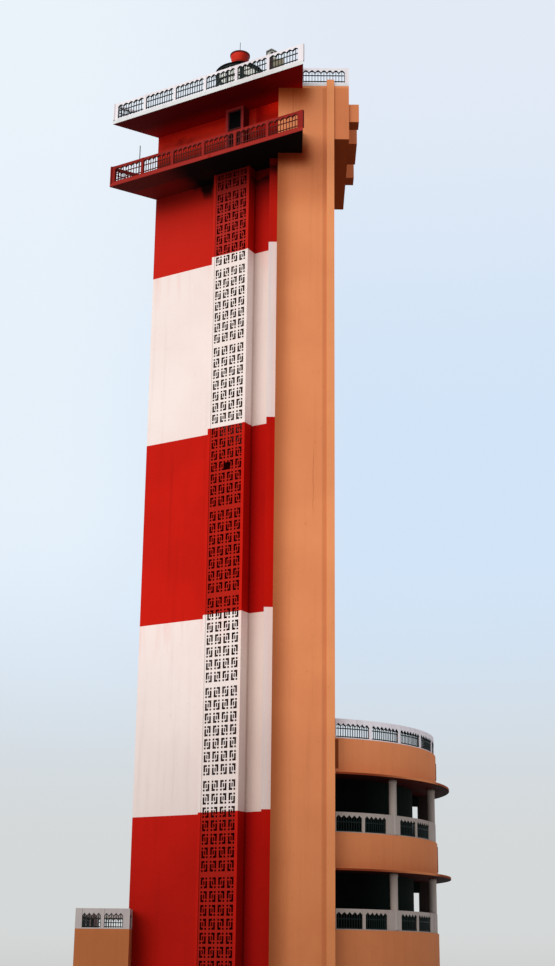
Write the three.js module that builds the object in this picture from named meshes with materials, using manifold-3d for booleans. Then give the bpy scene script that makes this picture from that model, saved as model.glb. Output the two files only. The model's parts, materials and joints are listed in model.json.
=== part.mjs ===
// A lighthouse: a three-cornered banded tower with a lift shaft, two galleries, a lantern,
// a round verandah annex and a low wing. It is a 1:2 scale model, in millimetres, +Z up.
// The origin is on the ground under the middle of the tower's triangle.

import * as THREE from 'three';
import Module from 'manifold-3d';
import { mergeVertices } from 'three/addons/utils/BufferGeometryUtils.js';

const wasm = await Module();
wasm.setup();

// Scale: every size below is a real metre times M, the model's millimetres for it
const M = 500;
const GAP = 0.3;

// Colour bands and storeys of the tower
const BAND_LEVELS = [0, 9.17 * M, 18.23 * M, 27.47 * M, 36.66 * M];
const STOREY = 4.222 * M;
const FIRST_LANDING = 2.236 * M;
const LANDING_COUNT = 10;
const LANDING_THICK = 0.2 * M;
const MIN_SLIVER = 0.03 * M;

// Tower plan: an equal-sided triangle with one corner on the left, on the X axis
const CORNER_X = -5.118 * M;
const SIXTY_HALF = Math.PI / 6;
const WALL = 0.3 * M;
const BAY_START = 4.08 * M;
const BAY_WIDTH = 2.106 * M;
const BAY_DEPTH = 0.697 * M;
const CHEEK = 0.14 * M;
const STRIP_LEFT = 0.934 * M;
const STRIP_FRONT = -4.424 * M;
const SCREEN_THICK = 0.1 * M;
const SCREEN_SET_BACK = 0.03 * M;
const SLOT_COLUMNS = 4;
const SLOT_WIDTH = 0.34 * M;
const SLOT_MARGIN = 0.12 * M;

// Lift shaft
const SHAFT_LEFT = 1.344 * M;
const SHAFT_RIGHT = 4.15 * M;
const SHAFT_HALF_DEPTH = 4.97 * M;
const FIN_LEFT = 3.78 * M;
const FIN_PROUD = 0.08 * M;
const FIN_TOP = 45.47 * M;

// Head room that overhangs the shaft's right side
const HEAD_RIGHT = 4.897 * M;
const HEAD_BACK = 2.406 * M;
const HEAD_BOTTOM = 42.1 * M;
const HEAD_WALL = 0.2 * M;
const BOX_PROUD = 0.505 * M;
const BOX_BOTTOM = 43.15 * M;
const BOX_TOP = 44.15 * M;
const BOX_SPANS = [[-4.86 * M, -4.1 * M], [-2.74 * M, -0.62 * M], [0.78 * M, 1.6 * M]];

// Galleries
const GALLERY_LEFT_EDGE = 2.69 * M;
const GALLERY_FRONT_EDGE = 11.55 * M;
const LOWER_UNDER = 41.3 * M;
const LOWER_TOP = 41.5 * M;
const ROOF_UNDER = 45.02 * M;
const ROOF_TOP = 45.24 * M;
const DOORWAY = [4.755 * M, 5.555 * M];
const DOOR_TOP = 44.89 * M;
const SURROUND_DEPTH = 0.56 * M;
const SURROUND_WALL = 0.135 * M;

// Railings: a kerb, posts and a top beam
const RAIL_HEIGHT = 0.96 * M;
const RAIL_THICK = 0.12 * M;
const RAIL_KERB = 0.06 * M;
const TOP_BEAM = 0.14 * M;
const POST_WIDTH = 0.2 * M;
const LOW_RAIL_HEIGHT = 0.88 * M;

// Lantern
const LANTERN_X = -0.828 * M;
const LANTERN_RADIUS = 1.31 * M;
const LANTERN_BASE_TOP = 46.5 * M;
const LANTERN_MIDDLE_RAIL = 48.13 * M;
const LANTERN_GLAZING_TOP = 48.83 * M;
const DOME_RADIUS = 1.335 * M;
const DOME_EDGE = 0.12 * M;
const DOME_TOP = 49.56 * M;
const DOME_SHOULDER_DROP = 0.1 * M;
const COWL_FOOT_RADIUS = 0.4 * M;
const COWL_BELLY = [0.48 * M, 49.88 * M];
const COWL_RADIUS = 0.545 * M;
const COWL_RIM_FOOT = 50.1 * M;
const COWL_RIM = 50.17 * M;
const COWL_TOP = 50.25 * M;
const ROD_TOP = 51 * M;
const GLAZING_BARS = 10;
const FIRST_GLAZING_BAR = -82.8;

// Round annex
const ANNEX_X = 2.172 * M;
const ANNEX_Y = 2.59 * M;
const ANNEX_RADIUS = 7.1 * M;
const ANNEX_WALL = 0.3 * M;
const INNER_RADIUS = 5.95 * M;
const CANOPY_RADIUS = 7.72 * M;
const CANOPY_THICK = 0.1 * M;
const PARAPET_TOPS = [4.15 * M, 8.25 * M, 12.35 * M];
const FASCIA_HEIGHT = 1.55 * M;
const FLOOR_DROP = 0.1 * M;
const FLOOR_THICK = 0.18 * M;
const COLUMN_RADIUS = 0.19 * M;
const COLUMN_ANGLES = [-47.4, -12.4, 47, 82];
const PIER_ANGLE = 12;
const PIER_INNER = 6.5 * M;
const RING_FACETS = 72;

// Low wing behind the tower's left corner
const WING_LEFT = -7.35 * M;
const WING_RIGHT = -4.918 * M;
const WING_FRONT = -1.51 * M;
const WING_WALL = 0.25 * M;
const WING_TOP = 4.15 * M;

// Finishes
const paint = (color, roughness = 0.85, metalness = 0) => {
  return new THREE.MeshStandardMaterial({ color, roughness, metalness });
};
const RED = paint(0xb01c14);
const WHITE = paint(0xece0d8);
const ORANGE = paint(0xd88a5e);
const GREY = paint(0xb3a3a8);
const DARK_GREEN = paint(0x1c2b26, 0.6, 0.2);
const GLASS = paint(0x9fb4b0, 0.1);

// Solids: closed meshes joined and cut
function toSolid(geometry) {
  geometry.deleteAttribute('normal');
  geometry.deleteAttribute('uv');
  const merged = mergeVertices(geometry, 1e-3);
  const vertProperties = new Float32Array(merged.attributes.position.array);
  const triVerts = new Uint32Array(merged.index.array);
  return new wasm.Manifold(new wasm.Mesh({ numProp: 3, vertProperties, triVerts }));
}

function toGeometry(solid) {
  const mesh = solid.getMesh();
  const geometry = new THREE.BufferGeometry();
  geometry.setAttribute('position', new THREE.BufferAttribute(new Float32Array(mesh.vertProperties), 3));
  geometry.setIndex(new THREE.BufferAttribute(new Uint32Array(mesh.triVerts), 1));
  geometry.computeVertexNormals();
  return geometry;
}

function join(solids) {
  return solids.reduce((sum, next) => sum.add(next));
}

function cut(solid, cutters) {
  return cutters.reduce((rest, next) => rest.subtract(next), solid);
}

function prism(points, low, high) {
  const shape = new THREE.Shape(points.map(([x, y]) => new THREE.Vector2(x, y)));
  const geometry = new THREE.ExtrudeGeometry(shape, { depth: high - low, bevelEnabled: false });
  geometry.translate(0, 0, low);
  return toSolid(geometry);
}

function block(x0, x1, y0, y1, z0, z1) {
  return prism([[x0, y0], [x1, y0], [x1, y1], [x0, y1]], z0, z1);
}

function turned(profile, x, y, facets = RING_FACETS) {
  const points = profile.map(([radius, height]) => new THREE.Vector2(radius, height));
  const geometry = new THREE.LatheGeometry(points, facets);
  geometry.rotateX(Math.PI / 2);
  geometry.translate(x, y, 0);
  return toSolid(geometry);
}

function ring(x, y, inner, outer, low, high, facets = RING_FACETS) {
  return turned([[inner, low], [outer, low], [outer, high], [inner, high], [inner, low]], x, y, facets);
}

function disc(x, y, radius, low, high, facets = RING_FACETS) {
  return turned([[0, low], [radius, low], [radius, high], [0, high]], x, y, facets);
}

// Places in plan along the tower's two outer faces, both measured from the left corner
const FRONT_DIRECTION = [Math.cos(SIXTY_HALF), -Math.sin(SIXTY_HALF)];
const FRONT_OUTWARD = [-Math.sin(SIXTY_HALF), -Math.cos(SIXTY_HALF)];

function frontPoint(along, outward) {
  return [
    CORNER_X + along * FRONT_DIRECTION[0] + outward * FRONT_OUTWARD[0],
    along * FRONT_DIRECTION[1] + outward * FRONT_OUTWARD[1],
  ];
}

function backPoint(along, outward) {
  const [x, y] = frontPoint(along, outward);
  return [x, -y];
}

// Point on the back face, or a line parallel to it, at a given X
function backPointAtX(x, outward) {
  const start = frontPoint(0, outward);
  return [x, -start[1] + (x - start[0]) * Math.tan(SIXTY_HALF)];
}

function frontPointAtX(x, outward) {
  const [px, py] = backPointAtX(x, outward);
  return [px, -py];
}

const lighthouse = new THREE.Group();

function addPart(name, solid, material) {
  const mesh = new THREE.Mesh(toGeometry(solid), material);
  mesh.name = name;
  lighthouse.add(mesh);
}

// Tower walls, landings, stair bay and screen, one lift of each for every colour band
const BAY_END = BAY_START + BAY_WIDTH;
const SCREEN_OUT = BAY_DEPTH - SCREEN_SET_BACK;
const SCREEN_BACK = SCREEN_OUT - SCREEN_THICK;
const INNER_CORNER = [CORNER_X + WALL / Math.sin(SIXTY_HALF), 0];

const landingLevels = Array.from({ length: LANDING_COUNT }, (_, i) => FIRST_LANDING + i * STOREY);
const landings = landingLevels.map((level) => [level - LANDING_THICK / 2, level + LANDING_THICK / 2]);

function clipSpans(spans, low, high) {
  const clipped = spans.map(([a, b]) => [Math.max(a, low), Math.min(b, high)]);
  return clipped.filter(([a, b]) => b - a > MIN_SLIVER);
}

function towerWall(low, high) {
  return prism([
    [CORNER_X, 0],
    frontPoint(BAY_START - GAP, 0),
    frontPoint(BAY_START - GAP, -WALL),
    INNER_CORNER,
    backPointAtX(SHAFT_LEFT - GAP, -WALL),
    backPointAtX(SHAFT_LEFT - GAP, 0),
  ], low, high);
}

function landingSlab(low, high) {
  const clear = -WALL - GAP;
  return prism([
    [INNER_CORNER[0] + 2 * GAP, 0],
    frontPoint(BAY_START + CHEEK / 2, clear),
    frontPoint(BAY_START + CHEEK / 2, SCREEN_BACK - GAP),
    frontPoint(BAY_END - CHEEK / 2, SCREEN_BACK - GAP),
    frontPoint(BAY_END - CHEEK / 2, clear),
    frontPointAtX(SHAFT_LEFT - GAP, -WALL + CHEEK),
    backPointAtX(SHAFT_LEFT - GAP, clear),
  ], low, high);
}

function stairBay(low, high) {
  const leftCheek = prism([
    frontPoint(BAY_START, -WALL),
    frontPoint(BAY_START, BAY_DEPTH),
    frontPoint(BAY_START + CHEEK, BAY_DEPTH),
    frontPoint(BAY_START + CHEEK, -WALL),
  ], low, high);
  const rightCheek = prism([
    frontPoint(BAY_END - CHEEK, -WALL),
    frontPoint(BAY_END - CHEEK, BAY_DEPTH),
    frontPoint(BAY_END, BAY_DEPTH),
    frontPoint(BAY_END, 0),
    frontPointAtX(STRIP_LEFT, 0),
    [STRIP_LEFT, STRIP_FRONT],
    [SHAFT_LEFT - GAP, STRIP_FRONT],
    frontPointAtX(SHAFT_LEFT - GAP, -WALL),
  ], low, high);
  const slabs = clipSpans(landings, low, high).map(([a, b]) => landingSlab(a, b));
  return join([leftCheek, rightCheek, ...slabs]);
}

function screenSlot(column, low, high) {
  const inside = BAY_WIDTH - 2 * CHEEK;
  const pitch = inside / SLOT_COLUMNS;
  const centre = BAY_START + CHEEK + (column + 0.5) * pitch;
  return prism([
    frontPoint(centre - SLOT_WIDTH / 2, SCREEN_BACK - WALL),
    frontPoint(centre - SLOT_WIDTH / 2, SCREEN_OUT + WALL),
    frontPoint(centre + SLOT_WIDTH / 2, SCREEN_OUT + WALL),
    frontPoint(centre + SLOT_WIDTH / 2, SCREEN_BACK - WALL),
  ], low, high);
}

function stairScreen(low, high) {
  const panel = prism([
    frontPoint(BAY_START + CHEEK + GAP, SCREEN_BACK),
    frontPoint(BAY_START + CHEEK + GAP, SCREEN_OUT),
    frontPoint(BAY_END - CHEEK - GAP, SCREEN_OUT),
    frontPoint(BAY_END - CHEEK - GAP, SCREEN_BACK),
  ], low, high);
  const edges = [0, ...landings.flat(), LOWER_UNDER];
  const openSpans = [];
  for (let i = 0; i < edges.length - 1; i += 2) {
    openSpans.push([edges[i] + SLOT_MARGIN, edges[i + 1] - SLOT_MARGIN / 2]);
  }
  const slots = [];
  for (const [a, b] of clipSpans(openSpans, low + SLOT_MARGIN, high - SLOT_MARGIN)) {
    for (let column = 0; column < SLOT_COLUMNS; column += 1) {
      slots.push(screenSlot(column, a, b));
    }
  }
  return cut(panel, slots);
}

// Gallery storey: over the stair bay its front wall runs on to the shaft, and a doorway is cut through it
function frontBlock(start, end, inner, outer, low, high) {
  return prism([
    frontPoint(start, inner),
    frontPoint(start, outer),
    frontPoint(end, outer),
    frontPoint(end, inner),
  ], low, high);
}

function topBandWall(low, high) {
  const frontWall = prism([
    frontPoint(BAY_START - 4 * GAP, 0),
    frontPointAtX(SHAFT_LEFT - GAP, 0),
    frontPointAtX(SHAFT_LEFT - GAP, -WALL),
    frontPoint(BAY_START - 4 * GAP, -WALL),
  ], LOWER_UNDER, high);
  const floor = prism([
    [(CORNER_X + INNER_CORNER[0]) / 2, 0],
    frontPointAtX(SHAFT_LEFT - GAP, -WALL / 2),
    backPointAtX(SHAFT_LEFT - GAP, -WALL / 2),
  ], LOWER_UNDER, LOWER_TOP);
  const doorway = frontBlock(DOORWAY[0], DOORWAY[1], -2 * WALL, WALL, LOWER_TOP, DOOR_TOP);
  return join([towerWall(low, high), frontWall, floor]).subtract(doorway);
}

BAND_LEVELS.forEach((low, band) => {
  const isTop = band === BAND_LEVELS.length - 1;
  const colour = band % 2 === 0 ? RED : WHITE;
  const bayTop = isTop ? LOWER_UNDER : BAND_LEVELS[band + 1];
  const wall = isTop ? topBandWall(low, ROOF_UNDER) : towerWall(low, bayTop);
  addPart(`tower_wall_band_${band + 1}`, wall, colour);
  addPart(`stair_bay_band_${band + 1}`, stairBay(low, bayTop), colour);
  addPart(`stair_screen_band_${band + 1}`, stairScreen(low, bayTop), colour);
});

// The doorway's surround stands out on the lower gallery's floor and reaches up to the roof's underside
const surround = frontBlock(DOORWAY[0] - SURROUND_WALL, DOORWAY[1] + SURROUND_WALL,
  GAP, SURROUND_DEPTH, LOWER_TOP, ROOF_UNDER);
const surroundOpening = frontBlock(DOORWAY[0], DOORWAY[1], -GAP, SURROUND_DEPTH + GAP, LOWER_TOP - GAP, DOOR_TOP);
addPart('gallery_door_surround', surround.subtract(surroundOpening), RED);

// Ground floor inside the tower's walls
const groundClear = -WALL - GAP;
addPart('tower_ground_floor', prism([
  [INNER_CORNER[0] + 2 * GAP, 0],
  frontPointAtX(SHAFT_LEFT - GAP, groundClear),
  backPointAtX(SHAFT_LEFT - GAP, groundClear),
], 0, FLOOR_THICK), GREY);

// Lift shaft: four walls and the fin on its front
const innerDepth = SHAFT_HALF_DEPTH - WALL;
addPart('shaft_front_wall',
  block(SHAFT_LEFT, SHAFT_RIGHT, -SHAFT_HALF_DEPTH, -innerDepth, 0, ROOF_UNDER), ORANGE);
addPart('shaft_back_wall',
  block(SHAFT_LEFT, SHAFT_RIGHT, innerDepth, SHAFT_HALF_DEPTH, 0, ROOF_UNDER), ORANGE);
addPart('shaft_left_wall',
  block(SHAFT_LEFT, SHAFT_LEFT + WALL, -innerDepth + GAP, innerDepth - GAP, 0, ROOF_UNDER), ORANGE);
addPart('shaft_right_wall',
  block(SHAFT_RIGHT - WALL, SHAFT_RIGHT, -innerDepth + GAP, innerDepth - GAP, 0, ROOF_UNDER), ORANGE);
addPart('shaft_fin',
  block(FIN_LEFT, SHAFT_RIGHT, -SHAFT_HALF_DEPTH - FIN_PROUD, -SHAFT_HALF_DEPTH - GAP, 0, FIN_TOP), ORANGE);

// Head room: floor and three walls against the shaft, and three small boxes on its right face
const headOuter = block(SHAFT_RIGHT + GAP, HEAD_RIGHT, -SHAFT_HALF_DEPTH, HEAD_BACK, HEAD_BOTTOM, ROOF_UNDER);
const headInner = block(SHAFT_RIGHT - WALL, HEAD_RIGHT - HEAD_WALL, -SHAFT_HALF_DEPTH + HEAD_WALL,
  HEAD_BACK - HEAD_WALL, HEAD_BOTTOM + HEAD_WALL, ROOF_UNDER + WALL);
addPart('head_walls', headOuter.subtract(headInner), ORANGE);
BOX_SPANS.forEach(([front, back], i) => {
  addPart(`head_box_${i + 1}`,
    block(HEAD_RIGHT + GAP, HEAD_RIGHT + BOX_PROUD, front, back, BOX_BOTTOM, BOX_TOP), ORANGE);
});

// Gallery outline: its left edge carries on the line of the back face, its front is parallel to the front face
const galleryLeft = [
  CORNER_X - GALLERY_LEFT_EDGE * Math.cos(SIXTY_HALF),
  -GALLERY_LEFT_EDGE * Math.sin(SIXTY_HALF),
];
const galleryRight = [
  galleryLeft[0] + GALLERY_FRONT_EDGE * FRONT_DIRECTION[0],
  galleryLeft[1] + GALLERY_FRONT_EDGE * FRONT_DIRECTION[1],
];

addPart('lower_gallery_floor', prism([
  galleryLeft,
  galleryRight,
  [galleryRight[0], -SHAFT_HALF_DEPTH - GAP],
  [SHAFT_LEFT - 2 * GAP, -SHAFT_HALF_DEPTH - GAP],
  frontPointAtX(SHAFT_LEFT - 2 * GAP, GAP),
  frontPoint(-GAP, GAP),
], LOWER_UNDER, LOWER_TOP), RED);

addPart('roof_slab', prism([
  galleryLeft,
  galleryRight,
  [galleryRight[0], -SHAFT_HALF_DEPTH],
  [HEAD_RIGHT, -SHAFT_HALF_DEPTH],
  [HEAD_RIGHT, HEAD_BACK],
  [SHAFT_RIGHT, HEAD_BACK],
  [SHAFT_RIGHT, SHAFT_HALF_DEPTH],
  [SHAFT_LEFT, SHAFT_HALF_DEPTH],
  backPointAtX(SHAFT_LEFT, 0),
  [CORNER_X, 0],
], ROOF_UNDER, ROOF_TOP), WHITE);

// Railings along straight edges: the run's outer face follows the path, which keeps its slab on its left
function runDirection(from, to) {
  const length = Math.hypot(to[0] - from[0], to[1] - from[1]);
  return { length, along: [(to[0] - from[0]) / length, (to[1] - from[1]) / length] };
}

function runBlock(from, along, start, end, depth, low, high) {
  const inward = [-along[1], along[0]];
  const at = (s, d) => [from[0] + along[0] * s + inward[0] * d, from[1] + along[1] * s + inward[1] * d];
  return prism([at(start, 0), at(end, 0), at(end, depth), at(start, depth)], low, high);
}

function straightRailing(from, to, base, height, bays, startExtra, endExtra) {
  const { length, along } = runDirection(from, to);
  const start = -startExtra;
  const end = length + endExtra;
  const solids = [
    runBlock(from, along, start, end, RAIL_THICK, base, base + RAIL_KERB),
    runBlock(from, along, start, end, RAIL_THICK, base + height - TOP_BEAM, base + height),
  ];
  for (let i = 0; i <= bays; i += 1) {
    const post = (length - POST_WIDTH) * i / bays;
    const postStart = i === 0 ? start : post;
    const postEnd = i === bays ? end : post + POST_WIDTH;
    solids.push(runBlock(from, along, postStart, postEnd, RAIL_THICK, base, base + height));
  }
  return join(solids);
}

// At an inward corner both runs carry on by their own thickness, so that they meet
function railingAlong(points, base, height, bays) {
  const turns = points.slice(1, -1).map((corner, i) => {
    const before = runDirection(points[i], corner).along;
    const after = runDirection(corner, points[i + 2]).along;
    const inwardCorner = before[0] * after[1] - before[1] * after[0] < 0;
    return inwardCorner ? RAIL_THICK : 0;
  });
  const extras = [0, ...turns, 0];
  const runs = bays.map((count, i) => {
    return straightRailing(points[i], points[i + 1], base, height, count, extras[i], extras[i + 1]);
  });
  return join(runs);
}

const shaftEdge = [galleryRight[0], -SHAFT_HALF_DEPTH - 2 * GAP];
addPart('lower_gallery_railing',
  railingAlong([backPoint(-GAP, 0), galleryLeft, galleryRight, shaftEdge], LOWER_TOP, RAIL_HEIGHT, [2, 6, 1]), RED);
addPart('roof_gallery_railing',
  railingAlong([backPoint(-GAP, 0), galleryLeft, galleryRight, shaftEdge], ROOF_TOP, RAIL_HEIGHT, [2, 6, 1]), WHITE);
addPart('roof_back_railing', railingAlong([
  [galleryRight[0] + GAP, -SHAFT_HALF_DEPTH],
  [HEAD_RIGHT, -SHAFT_HALF_DEPTH],
  [HEAD_RIGHT, HEAD_BACK],
  [SHAFT_RIGHT, HEAD_BACK],
  [SHAFT_RIGHT, SHAFT_HALF_DEPTH],
  [SHAFT_LEFT, SHAFT_HALF_DEPTH],
  backPointAtX(SHAFT_LEFT, 0),
  backPoint(0.2 * M, 0),
], ROOF_TOP, RAIL_HEIGHT, [2, 4, 1, 2, 2, 1, 4]), WHITE);

// Lantern on the roof, over the tower's axis
const GLASS_THICK = 0.02 * M;
const BAR = 0.06 * M;
addPart('lantern_base',
  ring(LANTERN_X, 0, LANTERN_RADIUS - 2 * BAR, LANTERN_RADIUS, ROOF_TOP, LANTERN_BASE_TOP, 32), WHITE);
const frameBars = [
  ring(LANTERN_X, 0, LANTERN_RADIUS - BAR, LANTERN_RADIUS, LANTERN_BASE_TOP, LANTERN_BASE_TOP + BAR, 32),
  ring(LANTERN_X, 0, LANTERN_RADIUS - BAR, LANTERN_RADIUS, LANTERN_MIDDLE_RAIL, LANTERN_MIDDLE_RAIL + BAR, 32),
  ring(LANTERN_X, 0, LANTERN_RADIUS - BAR, LANTERN_RADIUS, LANTERN_GLAZING_TOP - BAR, LANTERN_GLAZING_TOP, 32),
];
for (let i = 0; i < GLAZING_BARS; i += 1) {
  const angle = THREE.MathUtils.degToRad(FIRST_GLAZING_BAR) + i * 2 * Math.PI / GLAZING_BARS;
  const radial = [Math.cos(angle), Math.sin(angle)];
  const foot = [LANTERN_X + radial[0] * (LANTERN_RADIUS - BAR), radial[1] * (LANTERN_RADIUS - BAR)];
  frameBars.push(runBlock(foot, radial, 0, 0.9 * BAR, BAR, LANTERN_BASE_TOP, LANTERN_GLAZING_TOP));
}
addPart('lantern_frame', join(frameBars), DARK_GREEN);
addPart('lantern_glass', ring(LANTERN_X, 0, LANTERN_RADIUS - BAR - GLASS_THICK - 4, LANTERN_RADIUS - BAR - 4,
  LANTERN_BASE_TOP, LANTERN_GLAZING_TOP, 32), GLASS);

const domeShoulder = [(3 * COWL_FOOT_RADIUS + DOME_RADIUS) / 4, DOME_TOP - DOME_SHOULDER_DROP];
addPart('lantern_dome', turned([
  [0, DOME_TOP - BAR],
  [domeShoulder[0] - BAR, domeShoulder[1] - BAR],
  [DOME_RADIUS - 4 * BAR, LANTERN_GLAZING_TOP + 2 * GLASS_THICK],
  [DOME_RADIUS - 4 * BAR, LANTERN_GLAZING_TOP],
  [DOME_RADIUS, LANTERN_GLAZING_TOP],
  [DOME_RADIUS, LANTERN_GLAZING_TOP + DOME_EDGE],
  domeShoulder,
  [COWL_FOOT_RADIUS + BAR, DOME_TOP],
  [0, DOME_TOP],
], LANTERN_X, 0, 32), DARK_GREEN);

const ROD_RADIUS = 0.025 * M;
addPart('lantern_cowl', turned([
  [0, DOME_TOP],
  [COWL_FOOT_RADIUS, DOME_TOP],
  COWL_BELLY,
  [COWL_RADIUS, COWL_RIM_FOOT],
  [COWL_RADIUS, COWL_RIM],
  [COWL_RADIUS * 0.7, COWL_TOP],
  [ROD_RADIUS, COWL_TOP],
  [ROD_RADIUS, ROD_TOP],
  [0, ROD_TOP],
], LANTERN_X, 0, 24), RED);

// Small gabled cabinet on the gallery's roof deck, near the head room
const CABINET = [0.69 * M, 1.24 * M, -5.3 * M, -4.75 * M];
const CABINET_EAVES = 46.95 * M;
const CABINET_RIDGE = 47.11 * M;
const cabinetMiddle = (CABINET[0] + CABINET[1]) / 2;
const cabinetProfile = new THREE.Shape([
  new THREE.Vector2(CABINET[0], ROOF_TOP),
  new THREE.Vector2(CABINET[1], ROOF_TOP),
  new THREE.Vector2(CABINET[1], CABINET_EAVES),
  new THREE.Vector2(cabinetMiddle, CABINET_RIDGE),
  new THREE.Vector2(CABINET[0], CABINET_EAVES),
]);
const cabinetBody = new THREE.ExtrudeGeometry(cabinetProfile,
  { depth: CABINET[3] - CABINET[2], bevelEnabled: false });
cabinetBody.rotateX(Math.PI / 2);
cabinetBody.translate(0, CABINET[3], 0);
addPart('roof_cabinet', toSolid(cabinetBody), WHITE);

// Round annex: everything turned about its own axis, then kept outside the shaft and its left line
const FAR = 20 * M;
function outsideShaft(leftLimit, low, high) {
  return prism([
    [SHAFT_RIGHT + GAP, -FAR],
    [FAR, -FAR],
    [FAR, FAR],
    [leftLimit, FAR],
    [leftLimit, SHAFT_HALF_DEPTH + GAP],
    [SHAFT_RIGHT + GAP, SHAFT_HALF_DEPTH + GAP],
  ], low, high);
}

const annexLow = -1 * M;
const annexHigh = 15 * M;
const outerRegion = outsideShaft(SHAFT_LEFT, annexLow, annexHigh);
const innerRegion = outsideShaft(SHAFT_LEFT + WALL + GAP, annexLow, annexHigh);
const wallInside = ANNEX_RADIUS - ANNEX_WALL;
const annexTop = PARAPET_TOPS[2];

addPart('annex_ground_wall',
  ring(ANNEX_X, ANNEX_Y, wallInside, ANNEX_RADIUS, 0, PARAPET_TOPS[0]).intersect(outerRegion), ORANGE);
const endWall = block(SHAFT_LEFT, SHAFT_LEFT + WALL, SHAFT_HALF_DEPTH + GAP, FAR, 0, annexTop);
const endWallReach = disc(ANNEX_X, ANNEX_Y, wallInside - 2 * GAP, annexLow, annexHigh);
addPart('annex_end_wall', endWall.intersect(endWallReach), ORANGE);

PARAPET_TOPS.forEach((top, i) => {
  const slab = disc(ANNEX_X, ANNEX_Y, wallInside - 2 * GAP, top - FLOOR_DROP - FLOOR_THICK, top - FLOOR_DROP);
  const name = i === 2 ? 'annex_terrace_floor' : `annex_floor_${i + 1}`;
  addPart(name, slab.intersect(innerRegion), GREY);
});

function fascia(top) {
  const bottom = top - FASCIA_HEIGHT;
  const soffit = bottom - CANOPY_THICK;
  return turned([
    [INNER_RADIUS + GAP, soffit],
    [CANOPY_RADIUS, soffit],
    [CANOPY_RADIUS, bottom],
    [ANNEX_RADIUS, bottom],
    [ANNEX_RADIUS, top],
    [wallInside, top],
    [wallInside, bottom],
    [INNER_RADIUS + GAP, bottom],
    [INNER_RADIUS + GAP, soffit],
  ], ANNEX_X, ANNEX_Y).intersect(innerRegion);
}
addPart('annex_fascia_1', fascia(PARAPET_TOPS[1]), ORANGE);
addPart('annex_fascia_2', fascia(PARAPET_TOPS[2]), ORANGE);

// A block that runs out from the annex axis at an angle in degrees
function radialBlock(degrees, inner, outer, width, low, high) {
  const angle = THREE.MathUtils.degToRad(degrees);
  const along = [Math.cos(angle), Math.sin(angle)];
  const across = [along[1], -along[0]];
  const start = [
    ANNEX_X + along[0] * inner + across[0] * width / 2,
    ANNEX_Y + along[1] * inner + across[1] * width / 2,
  ];
  return runBlock(start, along, 0, outer - inner, width, low, high);
}

function innerWall(level) {
  const low = PARAPET_TOPS[level] - FLOOR_DROP;
  const high = PARAPET_TOPS[level + 1] - FLOOR_DROP - FLOOR_THICK;
  const soffit = PARAPET_TOPS[level + 1] - FASCIA_HEIGHT - CANOPY_THICK;
  const wall = ring(ANNEX_X, ANNEX_Y, INNER_RADIUS - 0.2 * M, INNER_RADIUS, low, high);
  const lintel = radialBlock(PIER_ANGLE, INNER_RADIUS - 0.1 * M, PIER_INNER - GAP, 0.2 * M,
    low + 2.05 * M, soffit);
  return join([wall, lintel]).intersect(innerRegion);
}
addPart('annex_inner_wall_1', innerWall(0), DARK_GREEN);
addPart('annex_inner_wall_2', innerWall(1), DARK_GREEN);

// Verandah columns with the pier and the railing between them, and the terrace railing
const railOuter = ANNEX_RADIUS - 0.06 * M;
const railInner = railOuter - RAIL_THICK;
const columnCircle = ANNEX_RADIUS - COLUMN_RADIUS - 0.02 * M;

function curvedRailing(base, height, postAngles) {
  const solids = [
    ring(ANNEX_X, ANNEX_Y, railInner, railOuter, base, base + RAIL_KERB),
    ring(ANNEX_X, ANNEX_Y, railInner, railOuter, base + height - TOP_BEAM, base + height),
  ];
  for (const angle of postAngles) {
    solids.push(radialBlock(angle, railInner, railOuter, 0.16 * M, base, base + height));
  }
  return join(solids);
}

function colonnade(level) {
  const low = PARAPET_TOPS[level];
  const high = PARAPET_TOPS[level + 1] - FASCIA_HEIGHT - CANOPY_THICK;
  const posts = [-74, -64, -54, -41, -30, -19, 29, 64, 92];
  const solids = [curvedRailing(low, LOW_RAIL_HEIGHT, posts)];
  for (const degrees of COLUMN_ANGLES) {
    const angle = THREE.MathUtils.degToRad(degrees);
    const x = ANNEX_X + columnCircle * Math.cos(angle);
    const y = ANNEX_Y + columnCircle * Math.sin(angle);
    solids.push(disc(x, y, COLUMN_RADIUS, low, high, 16));
  }
  solids.push(radialBlock(PIER_ANGLE, PIER_INNER, ANNEX_RADIUS - 0.05 * M, 0.2 * M, low, high));
  return join(solids).intersect(innerRegion);
}
addPart('annex_colonnade_1', colonnade(0), GREY);
addPart('annex_colonnade_2', colonnade(1), GREY);

const terracePosts = [-73.3, -58.9, -44.5, -30.1, -15.7, -1.3, 13.1, 27.5, 41.9, 56.3, 70.7, 85.1];
addPart('annex_terrace_railing',
  curvedRailing(annexTop, LOW_RAIL_HEIGHT, terracePosts).intersect(innerRegion), WHITE);

// Low wing: its walls, roof and railing, kept clear of the tower's corner
const towerWedge = prism([
  frontPoint(-4 * GAP, GAP),
  frontPointAtX(SHAFT_LEFT + M, GAP),
  backPointAtX(SHAFT_LEFT + M, GAP),
], annexLow, annexHigh);
const wingInnerFront = WING_FRONT + WING_WALL;
const wingBack = SHAFT_HALF_DEPTH;
const wingRightIn = SHAFT_LEFT - GAP;
const returnInside = WING_RIGHT - WING_WALL;
const wingWalls = join([
  block(WING_LEFT, WING_RIGHT, WING_FRONT, wingInnerFront, 0, WING_TOP),
  block(returnInside, WING_RIGHT, WING_FRONT, -GAP, 0, WING_TOP),
  block(WING_LEFT, WING_LEFT + WING_WALL, WING_FRONT, wingBack, 0, WING_TOP),
  block(WING_LEFT, wingRightIn, wingBack - WING_WALL, wingBack, 0, WING_TOP),
]);
addPart('wing_walls', wingWalls.subtract(towerWedge), ORANGE);

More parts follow.
